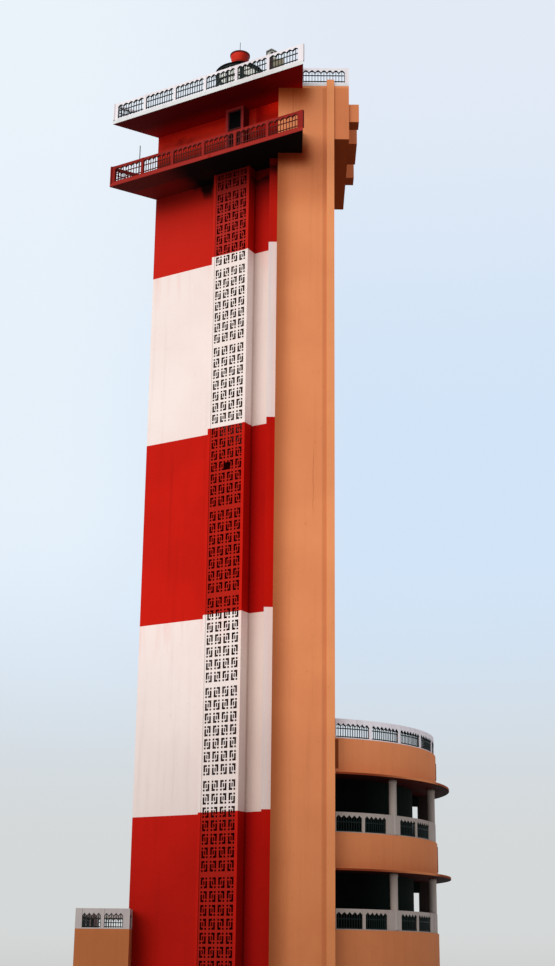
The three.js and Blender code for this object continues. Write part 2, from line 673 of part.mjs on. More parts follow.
const roofLow = WING_TOP - FLOOR_DROP - FLOOR_THICK;
const roofHigh = WING_TOP - FLOOR_DROP;
const roofArea = join([
  block(WING_LEFT + WING_WALL + GAP, returnInside - GAP, wingInnerFront + GAP, GAP, roofLow, roofHigh),
  block(WING_LEFT + WING_WALL + GAP, wingRightIn, 0, wingBack - WING_WALL - GAP, roofLow, roofHigh),
]);
addPart('wing_roof', roofArea.subtract(towerWedge), GREY);

addPart('wing_railing', railingAlong([
  [wingRightIn, wingBack],
  [WING_LEFT, wingBack],
  [WING_LEFT, WING_FRONT],
  [WING_RIGHT, WING_FRONT],
  [WING_RIGHT, -0.2 * M],
], WING_TOP, LOW_RAIL_HEIGHT, [5, 4, 2, 1]), WHITE);

export default lighthouse;
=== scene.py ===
"""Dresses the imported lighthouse, a 1:2 scale model, with screens, railings, lantern, finishes and stage.

Sizes in this file are metres of the real building unless a comment says otherwise. The model shows
half of each: Shape.build() halves every piece, and Finish reads its places in real metres.
"""

import functools
import json
import math

import bmesh
import bpy
from mathutils import Matrix, Vector


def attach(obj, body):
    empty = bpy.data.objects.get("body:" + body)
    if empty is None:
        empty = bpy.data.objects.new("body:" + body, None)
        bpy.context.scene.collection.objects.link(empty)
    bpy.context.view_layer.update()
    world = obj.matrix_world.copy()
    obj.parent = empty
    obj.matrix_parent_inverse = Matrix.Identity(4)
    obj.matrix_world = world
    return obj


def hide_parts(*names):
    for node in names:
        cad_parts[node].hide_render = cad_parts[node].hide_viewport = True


bl_info = {
    "name": "Banded lighthouse, 1:2 scale model",
    "version": (1, 2, 0),
    "blender": (4, 5, 0),
    "location": "3D View > Sidebar > Lighthouse",
    "description": "Builds the pieces, finishes and stage of a banded lighthouse around its CAD frame",
    "category": "Object",
}

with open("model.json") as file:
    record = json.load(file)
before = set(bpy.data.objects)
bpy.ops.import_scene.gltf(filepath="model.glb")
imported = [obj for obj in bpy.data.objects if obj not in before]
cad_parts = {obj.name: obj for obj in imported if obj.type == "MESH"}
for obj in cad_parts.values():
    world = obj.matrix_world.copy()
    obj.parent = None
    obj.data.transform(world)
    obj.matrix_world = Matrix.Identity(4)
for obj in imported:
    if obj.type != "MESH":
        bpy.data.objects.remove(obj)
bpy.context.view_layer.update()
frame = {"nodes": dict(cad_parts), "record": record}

# Model metres for one real metre
MODEL = 0.5

# Tower plan, as in the CAD source: places along the front face run from the left corner
CORNER_X = -5.118
FACE_TURN = math.radians(30)
FACE_ALONG = Vector((math.cos(FACE_TURN), -math.sin(FACE_TURN)))
FACE_OUTWARD = Vector((-math.sin(FACE_TURN), -math.cos(FACE_TURN)))
BAND_LEVELS = (0.0, 9.17, 18.23, 27.47, 36.66)
BAY_RIGHT = 6.186
BAY_INSIDE = (4.2206, 6.0454)
SCREEN_BACK = 0.607
SCREEN_OUT = 0.667
FIRST_LANDING = 2.236
STOREY = 4.222
LANDING_COUNT = 10
LOWER_UNDER = 41.3
LOWER_TOP = 41.5
ROOF_UNDER = 45.02
ROOF_TOP = 45.24
DOORWAY = (4.755, 5.555)
DOOR_TOP = 44.89
SURROUND_OUT = 0.56
SHAFT_LEFT = 1.344
SHAFT_RIGHT = 4.15
SHAFT_FRONT = -4.97
STRIP_FRONT = -4.424

# Key pattern of the screens: open parts of one block, as shares of its width from the left and of its
# height from the top
KEY_OPENINGS = (
    (0.00, 0.54, 0.00, 0.20),
    (0.00, 0.28, 0.20, 0.70),
    (0.00, 0.27, 0.81, 1.00),
    (0.73, 1.00, 0.00, 0.19),
    (0.72, 1.00, 0.30, 0.80),
    (0.46, 1.00, 0.80, 1.00),
    (0.40, 0.60, 0.31, 0.69),
)
KEY_ROWS = 7
KEY_COLUMNS = 4
KEY_SHIFT = 0.025
# Rows keep clear of the ground and of the lower gallery, and the last one ends under a plain edge
KEY_CLEARANCE = 0.3
KEY_TOP_EDGE = 0.06
# A block that has broken away, as distances along the face and heights
BROKEN_BLOCK = (5.02, 5.40, 25.22, 25.60)

# Railing profiles: heights above the deck of the kerb, of the two thin rails and of the beam's wavy
# underside at its cusps and crowns, and the thickness of the dark lip under it, which is partly dark
# paint and partly painted shade of the beam's underside
RAIL_THICK = 0.12
GALLERY_PROFILE = (0.05, 0.17, 0.53, 0.76, 0.86, 0.04)
ROOF_BACK_PROFILE = (0.10, 0.20, 0.54, 0.69, 0.83, 0.045)
TERRACE_PROFILE = (0.05, 0.09, 0.45, 0.57, 0.69, 0.045)
VERANDAH_PROFILE = (0.04, 0.07, 0.46, 0.63, 0.75, 0.015)
# Posts: width of the slim ones and of those at the ends of a run
POST_WIDTH = 0.15
END_POST = 0.3
# Half thicknesses of the beam, of its lip and of a thin rail
BEAM_HALF = 0.045
LIP_HALF = 0.043
THIN_RAIL = 0.02
SCALLOP_SAMPLES = 8
NARROWEST_BAY = 0.1
GALLERY_CORNERS = ((-5.1185, -0.0003), (-7.4476, -1.345), (2.555, -7.12), (2.555, -4.9712))
GALLERY_BAYS = (2, 6, 1)
ROOF_BACK_CORNERS = (
    (2.5556, -4.97),
    (4.897, -4.97),
    (4.897, 2.406),
    (4.15, 2.406),
    (4.15, 4.97),
    (1.344, 4.97),
    (1.344, 3.7308),
    (-4.9448, 0.1),
)
ROOF_BACK_BAYS = (1, 4, 1, 2, 2, 1, 4)
WING_CORNERS = ((1.3434, 4.97), (-7.35, 4.97), (-7.35, -1.51), (-4.918, -1.51), (-4.918, -0.2))
WING_BAYS = (5, 4, 2, 1)
WING_TOP = 4.15

# Round annex; angles are degrees about its centre
ANNEX_CENTRE = Vector((2.172, 2.59))
RAIL_RADIUS = 7.04
RAIL_FIRST = -73.3
RAIL_LAST = 94.2
CURVE_STEP = 0.3
PARAPET_TOPS = (4.15, 8.25, 12.35)
SOFFITS = (6.6, 10.7)
# Heights that hold the canopies' undersides and their rims
CANOPY_UNDERSIDES = ((6.5, 6.95), (10.6, 11.25))
CANOPY_RIMS = ((6.59, 6.69), (10.69, 10.79))
COLUMN_CIRCLE = 6.89
COLUMN_RADIUS = 0.19
COLUMN_NECK = 0.175
COLUMN_ANGLES = (-47.4, -12.4, 47.0, 82.0)
PIER_ANGLE = 12.0
PIER_SPAN = (6.5, 7.05)
PIER_THICK = 0.2
VERANDAH_POSTS = (
    (-62.8, -61.6),
    (-52.0, -44.8),
    (-35.0, -33.8),
    (-22.6, -8.0),
    (28.4, 29.6),
    (43.7, 50.3),
    (63.4, 64.6),
    (78.7, 85.3),
)
TERRACE_POSTS = tuple((-59.5 + 14.4 * i, -58.3 + 14.4 * i) for i in range(11))
# Rain spouts: angle, distances of the wall and of the pipe from the centre, and tops and feet
SPOUT_ANGLE = -8.0
SPOUT_WALL = 7.02
SPOUT_PIPE = 7.09
SPOUTS = ((11.95, 11.2), (8.05, 6.92))

# Lantern; profiles are radii and heights from the foot up
LANTERN_CENTRE = Vector((-0.828, 0.0))
LANTERN_RADIUS = 1.31
GLAZING = (46.5, 48.83)
RING_HEIGHT = 0.07
MIDDLE_RING = (48.10, 48.19)
FIRST_GLAZING_BAR = -82.8
DOME_RADIUS = 1.335
DOME_EDGE = 0.12
DOME_FOOT = GLAZING[1]
DOME_RIM = DOME_FOOT + DOME_EDGE
DOME_TOP = 49.56
DOME_OUTSIDE = (
    (DOME_RADIUS - 0.03, DOME_FOOT),
    (DOME_RADIUS, DOME_FOOT + 0.02),
    (DOME_RADIUS, DOME_RIM - 0.02),
    (DOME_RADIUS - 0.03, DOME_RIM),
    (DOME_RADIUS - 0.06, DOME_RIM + 0.01),
    (1.02, 49.15),
    (0.72, 49.37),
    (0.46, DOME_TOP),
    (0.06, DOME_TOP),
)
DOME_INSIDE = (
    (0.06, DOME_TOP - 0.06),
    (0.58, 49.33),
    (0.95, 49.10),
    (1.09, DOME_FOOT + 0.04),
    (1.09, DOME_FOOT),
)
COWL_TOP = 50.25
COWL_OUTSIDE = (
    (0.30, DOME_TOP + 0.001),
    (0.40, DOME_TOP + 0.001),
    (0.405, DOME_TOP + 0.04),
    (0.43, DOME_TOP + 0.12),
    (0.48, 49.88),
    (0.50, 49.96),
    (0.515, 50.08),
    (0.515, 50.17),
    (0.44, 50.215),
    (0.30, 50.24),
    (0.05, COWL_TOP),
)
COWL_RIM_RADII = (0.50, 0.545)
COWL_RIM_HEIGHTS = (50.10, 50.17)
ROD_RADIUS = 0.014
ROD_TOP = 51.0

# Doorway to the lower gallery: widths of its frame, its transom, and its leaf's panels
FRAME_WIDTH = 0.06
FRAME_HEAD = 0.07
TRANSOM = (43.75, 43.83)
LEAF_PANELS_ALONG = ((4.875, 5.11), (5.2, 5.435))
LEAF_PANELS_UP = ((41.65, 42.55), (42.7, 43.6))
# A thin rod on the lower gallery: place along and out from the face, top and radius
STAY_PLACE = (0.42, 2.2)
STAY_TOP = 43.3
STAY_RADIUS = 0.022

# Roof cabinet, with a frame box and a side box on its front
CABINET_X = (0.69, 1.24)
CABINET_Y = (-5.3, -4.75)
CABINET_EAVES = 46.95
CABINET_RIDGE = 47.11
CABINET_ROOF = 0.05
FRAME_BOX_X = (0.82, 1.04)
FRAME_BOX_TOP = 46.7
SIDE_BOX_X = (1.04, 1.58)
SIDE_BOX_TOP = 46.55
VENT_HEIGHT = 46.87
VENT_RADIUS = 0.075

# Camera, solved from the photograph, in model metres
CAMERA_PLACE = (0.926, -36.055, 1.2)
CAMERA_PITCH = 0.311187
CAMERA_ROLL = 0.0107118
CAMERA_YAW = -0.0052618
CAMERA_LENS = 56.636
CAMERA_SENSOR = 36.0

# Sky: bands of colour in screen values, each laid in between two heights of the view direction
HORIZON = (196, 194, 190)
SKY_BANDS = (
    (-0.04, 0.03, (213, 216, 216)),
    (0.06, 0.26, (210, 228, 247)),
    (0.34, 0.56, (226, 234, 246)),
    (0.62, 0.95, (236, 240, 246)),
)
KEY_TURN = (math.radians(60), 0.0, math.radians(-42))
KEY_SPREAD = math.radians(55)

# Painted surfaces' usual specular level
SOFT_GLOSS = 0.06


def linear(red, green, blue):
    """Shader colour of a paint that is given in 0 to 255 screen values."""
    def channel(value):
        share = value / 255
        if share <= 0.04045:
            return share / 12.92
        return ((share + 0.055) / 1.055) ** 2.4
    return (channel(red), channel(green), channel(blue), 1.0)


# Settings that a user would change


def length_setting(name, description, default, low, high):
    return bpy.props.FloatProperty(
        name=name, description=description, default=default, min=low, max=high, unit="LENGTH")


def share_setting(name, description, default, low, high):
    return bpy.props.FloatProperty(
        name=name, description=description, default=default, min=low, max=high, subtype="FACTOR")


def colour_setting(name, description, red, green, blue):
    """A colour whose default is given in screen values."""
    return bpy.props.FloatVectorProperty(
        name=name, description=description, default=linear(red, green, blue), size=4,
        min=0.0, max=1.0, subtype="COLOR")


class FinishSettings(bpy.types.PropertyGroup):
    red_paint: colour_setting("Red paint", "Colour of the red bands", 184, 20, 6)
    white_paint: colour_setting("White paint", "Colour of the white bands", 226, 209, 202)
    orange_paint: colour_setting("Orange paint", "Colour of the shaft and the annex", 216, 133, 86)
    railing_paint: colour_setting("Railing paint", "Colour of the pale railings", 222, 214, 216)
    iron_paint: colour_setting("Iron paint", "Colour of the bars and the lantern's frame", 14, 24, 22)
    cowl_paint: colour_setting("Cowl paint", "Colour of the lantern's cowl", 205, 42, 16)


class ScreenSettings(bpy.types.PropertyGroup):
    block_height: share_setting("Block height", "Share of a row that its block takes up", 0.8, 0.4, 0.95)
    block_width: share_setting("Block width", "Share of a column that its block takes up", 0.74, 0.4, 0.95)
    row_pitch: length_setting("Row pitch", "Height of one row of blocks", 0.585, 0.3, 1.0)


class RailingSettings(bpy.types.PropertyGroup):
    gallery_height: length_setting("Gallery height", "Height of the galleries' railings", 0.96, 0.5, 1.3)
    low_height: length_setting("Low height", "Height of the other railings", 0.88, 0.5, 1.3)
    bar_width: length_setting("Bar width", "Width of an upright bar", 0.03, 0.01, 0.05)
    scallop_pitch: length_setting("Scallop pitch", "Width of a round scallop, with two bars", 0.31, 0.15, 0.8)
    low_pitch: length_setting("Point pitch", "Width of a pointed scallop, with two bars", 0.24, 0.15, 0.8)


class LanternSettings(bpy.types.PropertyGroup):
    bar_count: bpy.props.IntProperty(
        name="Glazing bars", description="Upright bars round the glazing", default=10, min=6, max=16)
    bar_width: length_setting("Bar width", "Width of a glazing bar", 0.06, 0.03, 0.2)
    front_bar_width: length_setting("Front bar width", "Width of the broad front bar", 0.24, 0.03, 0.4)


class StageSettings(bpy.types.PropertyGroup):
    floor_radius: length_setting("Floor radius", "Radius of the floor, in model metres", 14.0, 8.0, 60.0)
    sky_strength: bpy.props.FloatProperty(
        name="Sky strength", description="Strength of the soft light from all round",
        default=1.0, min=0.1, max=4.0)
    key_strength: bpy.props.FloatProperty(
        name="Key strength", description="Strength of the broad soft light from the front left",
        default=2.2, min=0.0, max=8.0)


# Pieces: corners and faces in real metres


class Shape:
    """Collects closed forms in real metres and turns them into one model object."""

    def __init__(self):
        self.corners = []
        self.faces = []
        self.smooth = []
        self.paint = []

    def add_face(self, corners, smooth=False, paint=0):
        self.faces.append(tuple(corners))
        self.smooth.append(smooth)
        self.paint.append(paint)

    def sweep(self, rings, smooth=False, paint=0, capped=True):
        """Skins a row of equal rings of points, with a face over each end."""
        first = len(self.corners)
        width = len(rings[0])
        for ring in rings:
            self.corners.extend(ring)
        for i in range(len(rings) - 1):
            for j in range(width):
                a = first + i * width + j
                b = first + i * width + (j + 1) % width
                self.add_face((a, b, b + width, a + width), smooth, paint)
        if capped:
            last = first + (len(rings) - 1) * width
            self.add_face(range(first + width - 1, first - 1, -1), False, paint)
            self.add_face(range(last, last + width), False, paint)

    def box(self, place, along, depth, height, paint=0, step=None):
        """A block between two values along, in depth and in height; a bent run is cut into steps."""
        start, end = along
        count = 1 if step is None else max(1, math.ceil((end - start) / step))
        stops = [start + (end - start) * i / count for i in range(count + 1)]
        self.sweep([section(place, s, depth, height) for s in stops], False, paint)

    def tube(self, start, end, radius, sides=8, paint=0):
        """A round bar between two points."""
        axis = (end - start).normalized()
        side = axis.orthogonal().normalized()
        up = axis.cross(side)
        angles = [2 * math.pi * i / sides for i in range(sides)]
        spokes = [radius * (side * math.cos(angle) + up * math.sin(angle)) for angle in angles]
        self.sweep([[point + spoke for spoke in spokes] for point in (start, end)], True, paint)

    def turned(self, profile, centre, sides=48, paint=0, smooth=True, capped=True):
        """A form turned about an upright axis from (radius, height) pairs."""
        rings = []
        for radius, height in profile:
            rings.append([on_circle(centre, radius, 2 * math.pi * i / sides, height) for i in range(sides)])
        self.sweep(rings, smooth, paint, capped)

    def hoop(self, centre, radii, heights, sides=64, paint=0):
        """A flat-sided ring between two radii and two heights."""
        inner, outer = radii
        low, high = heights
        profile = [(inner, low), (outer, low), (outer, high), (inner, high), (inner, low)]
        self.turned(profile, centre, sides, paint, smooth=False, capped=False)

    def build(self, name, slot, materials, replaced=()):
        """Makes the object at the model's scale, rides it on the building and puts its finishes on it."""
        mesh = bpy.data.meshes.new(name)
        mesh.from_pydata([corner * MODEL for corner in self.corners], [], self.faces)
        mesh.polygons.foreach_set("use_smooth", self.smooth)
        mesh.polygons.foreach_set("material_index", self.paint)
        shell = bmesh.new()
        shell.from_mesh(mesh)
        bmesh.ops.remove_doubles(shell, verts=shell.verts, dist=1e-6)
        bmesh.ops.recalc_face_normals(shell, faces=shell.faces)
        shell.to_mesh(mesh)
        shell.free()
        for material in materials:
            mesh.materials.append(bpy.data.materials[material])
        piece = bpy.data.objects.new(name, mesh)
        bpy.context.scene.collection.objects.link(piece)
        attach(piece, "root")
        if replaced:
            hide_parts(*replaced)


def section(place, s, depth, height):
    """Corners of an upright section at a distance along."""
    return [
        place(s, depth[0], height[0]),
        place(s, depth[1], height[0]),
        place(s, depth[1], height[1]),
        place(s, depth[0], height[1]),
    ]


def raised(spot, height):
    """A level place at a height."""
    return Vector((spot.x, spot.y, height))


def on_circle(centre, radius, angle, height):
    """A point at an angle round an upright axis."""
    return Vector((centre.x + radius * math.cos(angle), centre.y + radius * math.sin(angle), height))


def heading(degrees):
    """The level direction at an angle."""
    angle = math.radians(degrees)
    return Vector((math.cos(angle), math.sin(angle)))


def face_place(along, outward, height):
    """A point by its distance along the tower's front face and out from it."""
    return raised(Vector((CORNER_X, 0)) + FACE_ALONG * along + FACE_OUTWARD * outward, height)


def straight_place(start, end):
    """Places points by distance along an edge and depth to its left."""
    origin = Vector(start)
    along = (Vector(end) - origin).normalized()
    inward = Vector((-along.y, along.x))

    def place(s, depth, height):
        return raised(origin + along * s + inward * depth, height)
    return place


def round_place(centre, radius, first_degrees):
    """Places points by distance along a circle and depth inwards from it."""
    first = math.radians(first_degrees)

    def place(s, depth, height):
        return on_circle(centre, radius - depth, first + s / radius, height)
    return place


# Shader maths


class Signal:
    """One node output, so that maths on it reads as a Python expression and adds its nodes."""

    def __init__(self, shader, socket):
        self.shader = shader
        self.socket = socket

    def _math(self, operation, *values, clamp=False):
        node = self.shader.tree.nodes.new("ShaderNodeMath")
        node.operation = operation
        node.use_clamp = clamp
        for entry, value in zip(node.inputs, values):
            self.shader.feed(entry, value)
        return Signal(self.shader, node.outputs[0])

    def __add__(self, other):
        return self._math("ADD", self, other)

    def __radd__(self, other):
        return self._math("ADD", other, self)

    def __sub__(self, other):
        return self._math("SUBTRACT", self, other)

    def __rsub__(self, other):
        return self._math("SUBTRACT", other, self)

    def __mul__(self, other):
        return self._math("MULTIPLY", self, other)

    def __rmul__(self, other):
        return self._math("MULTIPLY", other, self)

    def clamped(self):
        return self._math("ADD", self, 0.0, clamp=True)


class Shading:
    """A node tree and the few ways in which nodes are added to it."""

    def __init__(self, tree):
        self.tree = tree
        self.colour = None

    def feed(self, entry, value):
        if isinstance(value, Signal):
            self.tree.links.new(value.socket, entry)
        else:
            entry.default_value = value

    def node(self, kind, settings=None, values=None, output=0):
        """Any node: its settings first, then the values or links of its sockets."""
        node = self.tree.nodes.new(kind)
        for name, value in (settings or {}).items():
            setattr(node, name, value)
        for name, value in (values or {}).items():
            self.feed(node.inputs[name], value)
        return Signal(self, node.outputs[output])

    def split(self, vector):
        """The three numbers of a vector."""
        first = self.node("ShaderNodeSeparateXYZ", {}, {0: vector})
        return [Signal(self, output) for output in first.socket.node.outputs]

    def rise(self, value, low, high):
        """0 below low, 1 above high and smooth between; low may be the greater one."""
        values = {"Value": value, "From Min": low, "From Max": high}
        return self.node("ShaderNodeMapRange", {"interpolation_type": "SMOOTHSTEP"}, values)

    def within(self, value, low, high, soft):
        """1 between two values and 0 outside them, with soft ends."""
        return self.rise(value, low - soft, low + soft) * self.rise(value, high + soft, high - soft)

    def where(self, share=1.0, **places):
        """Narrows a share to places: (a, b) rises from a to b, (a, b, c, d) also falls from c to d,
        and (a, b, soft) is within a and b."""
        for name, limits in places.items():
            value = getattr(self, name)
            if len(limits) == 3:
                share = self.within(value, *limits) * share
            else:
                share = self.rise(value, limits[0], limits[1]) * share
            if len(limits) == 4:
                share = self.rise(value, limits[3], limits[2]) * share
        return share

    def mix(self, share, first, second, blend="MIX"):
        """A colour between two colours, or with blend MULTIPLY the first one tinted by the second."""
        settings = {"data_type": "RGBA", "blend_type": blend}
        return self.node("ShaderNodeMix", settings, {0: share, 6: first, 7: second}, 2)

    def paint(self, colour, share=1.0, **places):
        """Lays a paint over the running colour."""
        self.colour = self.mix(self.where(share, **places), self.colour, linear(*colour))

    def tint(self, factors, share=1.0, **places):
        """Multiplies the running colour, so that what lies on it still shows."""
        self.colour = self.mix(self.where(share, **places), self.colour, (*factors, 1.0), "MULTIPLY")


class Finish(Shading):
    """A procedural material that knows its places in real metres."""

    def __init__(self, name, colour, gloss=SOFT_GLOSS):
        self.material = bpy.data.materials.new(name)
        self.material.use_nodes = True
        super().__init__(self.material.node_tree)
        self.shader = self.tree.nodes["Principled BSDF"]
        self.shader.inputs["Specular IOR Level"].default_value = gloss
        model_point = self.node("ShaderNodeTexCoord", output="Object")
        to_real = {0: model_point, 1: (1 / MODEL,) * 3}
        self.point = self.node("ShaderNodeVectorMath", {"operation": "MULTIPLY"}, to_real)
        self.x, self.y, self.z = self.split(self.point)
        true_normal = self.node("ShaderNodeNewGeometry", output="True Normal")
        self.facing_x, self.facing_y, self.facing_z = self.split(true_normal)
        self.underside = self.rise(self.facing_z, -0.3, -0.9)
        self.colour = tuple(colour)

    @functools.cached_property
    def along(self):
        """Distance along the tower's front face, from its left corner."""
        return (self.x - CORNER_X) * FACE_ALONG.x + self.y * FACE_ALONG.y

    @functools.cached_property
    def outward(self):
        """Distance out from the tower's front face."""
        return (self.x - CORNER_X) * FACE_OUTWARD.x + self.y * FACE_OUTWARD.y

    def square_to(self, direction):
        """1 on faces that look squarely in a level direction."""
        return self.rise(self.facing_x * direction.x + self.facing_y * direction.y, 0.8, 0.95)

    def noise(self, scale, detail=3.0, roughness=0.55, stretch=None):
        """Noise in real metres, stretched where a mark runs one way."""
        point = self.point
        if stretch:
            point = self.node("ShaderNodeVectorMath", {"operation": "MULTIPLY"}, {0: point, 1: stretch})
        values = {"Vector": point, "Scale": scale, "Detail": detail, "Roughness": roughness}
        return self.node("ShaderNodeTexNoise", {}, values)

    def relief(self, height, distance):
        """Small height differences, in model metres, as a bump."""
        values = {"Height": height, "Distance": distance}
        self.feed(self.shader.inputs["Normal"], self.node("ShaderNodeBump", {}, values))

    def close(self, roughness):
        """Puts the running colour and a roughness on the shader."""
        self.feed(self.shader.inputs["Base Color"], self.colour)
        self.feed(self.shader.inputs["Roughness"], roughness)

    def matt(self, roughness, grain_share=0.12):
        """Closes the finish with a roughness that varies with its grain."""
        self.close((self.grain * grain_share + roughness).clamped())


# Finishes: places are real metres, and each mark tints or paints where its places hold


def weathered(name, colour, streak=0.35, spots=0.25, gloss=SOFT_GLOSS, fade=1.0):
    """Painted render: faded patches, rain streaks, small spots and fine grain, as tints of its paint."""
    finish = Finish(name, colour, gloss)
    patches = finish.noise(0.28, 4.0)
    streaks = finish.noise(1.0, 4.0, 0.6, (3.5, 3.5, 0.11))
    speckle = finish.noise(4.5, 5.0, 0.65)
    finish.grain = finish.noise(22.0, 3.0, 0.6)
    finish.tint((0.9, 0.86, 0.86), finish.rise(patches, 0.36, 0.68) * fade)
    finish.tint((0.55, 0.5, 0.5), finish.rise(streaks, 0.52, 0.78) * streak)
    finish.tint((0.6, 0.55, 0.55), finish.rise(speckle, 0.6, 0.78) * spots)
    finish.relief(finish.grain * 0.5 + speckle * 0.8 + streaks * 0.3, 0.004)
    return finish


def painted_ground_shade(finish, factors):
    """Painted shade that darkens the render towards the ground."""
    finish.tint(factors, z=(20.0, 2.0))


def tower_shade(finish, recess_factors, cheek_factors, strip_factors, screen_factors):
    """Painted light and shade in the recess beside the stair bay, on the bay's right cheek and on the strip,
    and a change of hue on the screens.
    """
    # Painted shade in the recess, deeper next to the bay
    recess = finish.where(outward=(-0.15, 0.15, 0.03), along=(BAY_RIGHT - 0.1, BAY_RIGHT))
    finish.tint(recess_factors, recess)
    finish.tint(recess_factors, recess, along=(BAY_RIGHT + 0.7, BAY_RIGHT))
    # Painted light and shade on faces that look along the front, such as the bay's right cheek
    finish.tint(cheek_factors, finish.square_to(FACE_ALONG), z=(LOWER_UNDER, LOWER_UNDER - 0.3))
    # Painted shade on the strip beside the shaft
    strip = finish.where(y=(STRIP_FRONT - 0.05, STRIP_FRONT + 0.05, 0.02))
    finish.tint(strip_factors, strip, x=(SHAFT_LEFT + 0.1, SHAFT_LEFT))
    screen = finish.where(outward=(SCREEN_BACK - 0.02, SCREEN_OUT + 0.012, 0.008))
    finish.tint(screen_factors, screen, along=(*BAY_INSIDE, 0.005), z=(LOWER_UNDER + 0.1, LOWER_UNDER))


def red_render(settings):
    """The red bands: painted shade low down, in the recess and under the roof, painted light between the
    galleries, and a dark soffit in painted shade.
    """
    finish = weathered("red_render", settings.red_paint, streak=0.3)
    finish.paint((180, 36, 24), 0.5, z=(33.0, 39.0))
    painted_ground_shade(finish, (0.6, 0.55, 0.5))
    tower_shade(finish, (0.8, 0.4, 0.3), (0.85, 0.5, 0.4), (0.88, 0.65, 0.5), (0.76, 1.5, 2.4))
    red_under_gallery(finish)
    red_between_galleries(finish)
    edge = finish.where(z=(LOWER_UNDER - 0.01, LOWER_TOP - 0.01, 0.01))
    finish.tint((0.6, 1.6, 2.6), edge, outward=(1.2, 1.3))
    # Painted shade on the lower gallery's soffit, which is also near black towards the right
    soffit = finish.where(finish.underside, z=(LOWER_UNDER - 0.1, LOWER_UNDER + 0.1, 0.02))
    finish.tint((0.5, 0.6, 0.6), soffit)
    black = finish.rise(finish.along + finish.noise(0.6) * 1.5, 2.2, 4.0)
    finish.tint((0.04, 0.04, 0.08), soffit * black)
    finish.matt(0.74)


def red_under_gallery(finish):
    """Shadow and black blotches on the tower's front below the lower gallery."""
    below = finish.where(outward=(-0.3, -0.2), z=(LOWER_UNDER + 0.05, LOWER_UNDER))
    shadow = below * finish.rise(finish.z + finish.noise(0.8) * 0.8, 38.6, 41.8)
    finish.tint((0.3, 0.2, 0.2), shadow, along=(3.4, 4.6))
    finish.tint((0.5, 0.4, 0.4), below, z=(39.8, 41.2), along=(4.2, 3.4))
    blotch = finish.rise(finish.noise(0.5, 2.0), 0.5, 0.6)
    blotch = finish.where(blotch, along=(0.9, 8.6, 0.4), outward=(-0.3, -0.2, 0.7, 1.5))
    finish.tint((0.05, 0.05, 0.08), blotch, z=(40.2, 41.0, 41.35, 41.4))


def red_between_galleries(finish):
    """Painted light and shade on the wall behind the railing, painted shade under the roof with dark smudges
    in it, the doorway's dark jambs and painted shade on the surround's right cheek.
    """
    between = finish.where(z=(LOWER_TOP, ROOF_UNDER + 0.08, 0.02))
    on_wall = finish.where(between, outward=(-0.2, 0.2, 0.03))
    near_roof = finish.where(z=(43.2, 44.0))
    # Painted light and shade: the wall lighter from 43.2 m up and darker below it
    finish.tint((1.45, 2.3, 2.4), on_wall * near_roof)
    finish.tint((2.5, 2.1, 1.2), on_wall, z=(44.2, 44.85))
    finish.tint((0.32, 0.6, 0.5), on_wall * (1.0 - near_roof))
    # Painted shade under the roof, darkest at the soffit, with dark smudges in it
    roof_shade = on_wall * finish.rise(finish.z + finish.noise(0.7, 4.0) * 0.8, 44.1, 45.3)
    finish.tint((0.3, 0.15, 0.2), roof_shade, along=(7.6, 6.0))
    smudge = roof_shade * finish.rise(finish.noise(0.9, 4.0), 0.5, 0.62)
    finish.tint((0.3, 0.3, 0.4), smudge, along=(0.8, 2.4, 0.4))
    jamb = between * finish.square_to(FACE_OUTWARD)
    finish.paint((146, 40, 40), jamb, outward=(SURROUND_OUT - 0.02, SURROUND_OUT + 0.04, 0.01))
    # Painted shade on the surround's right cheek
    cheek = between * finish.square_to(FACE_ALONG)
    finish.tint((0.2, 0.15, 0.2), cheek, outward=(0.0, SURROUND_OUT + 0.1, 0.02))


def gallery_red():
    """Duller, dirtier red of the lower gallery's railing, with painted shade on the posts' right sides and on
    its undersides.
    """
    finish = weathered("gallery_red", linear(132, 30, 24), streak=0.4, spots=0.4)
    # Painted shade on the posts' right sides and on the undersides
    finish.tint((0.4, 0.3, 0.3), finish.square_to(FACE_ALONG))
    finish.tint((0.4, 0.3, 0.3), finish.underside)
    finish.matt(0.7)


def red_iron():
    """Dull dark red paint on the lower gallery's bars."""
    weathered("red_iron", linear(84, 22, 16), spots=0.4).matt(0.5, 0.2)


def white_render(settings):
    """The white bands, with a pinkish wash of the red above them and painted shade low down and in the
    recess.
    """
    finish = weathered("white_render", settings.white_paint, streak=0.16, fade=0.4)
    painted_ground_shade(finish, (0.62, 0.6, 0.6))
    tower_shade(finish, (0.88, 0.84, 0.82), (1.0, 1.04, 1.06), (0.91, 0.98, 1.03), (0.98, 1.0, 1.0))
    # Painted shade low down in the recess and on the strip
    finish.tint((0.97, 0.93, 0.9), along=(5.9, 6.2), z=(30.0, 12.0))
    wash = finish.rise(finish.noise(1.0, 3.0, 0.6, (2.2, 2.2, 0.2)), 0.45, 0.7)
    for top in (BAND_LEVELS[2], BAND_LEVELS[4]):
        finish.paint((214, 150, 140), wash * 0.3, z=(top - 2.4, top, top, top + 0.02))
    finish.matt(0.74)


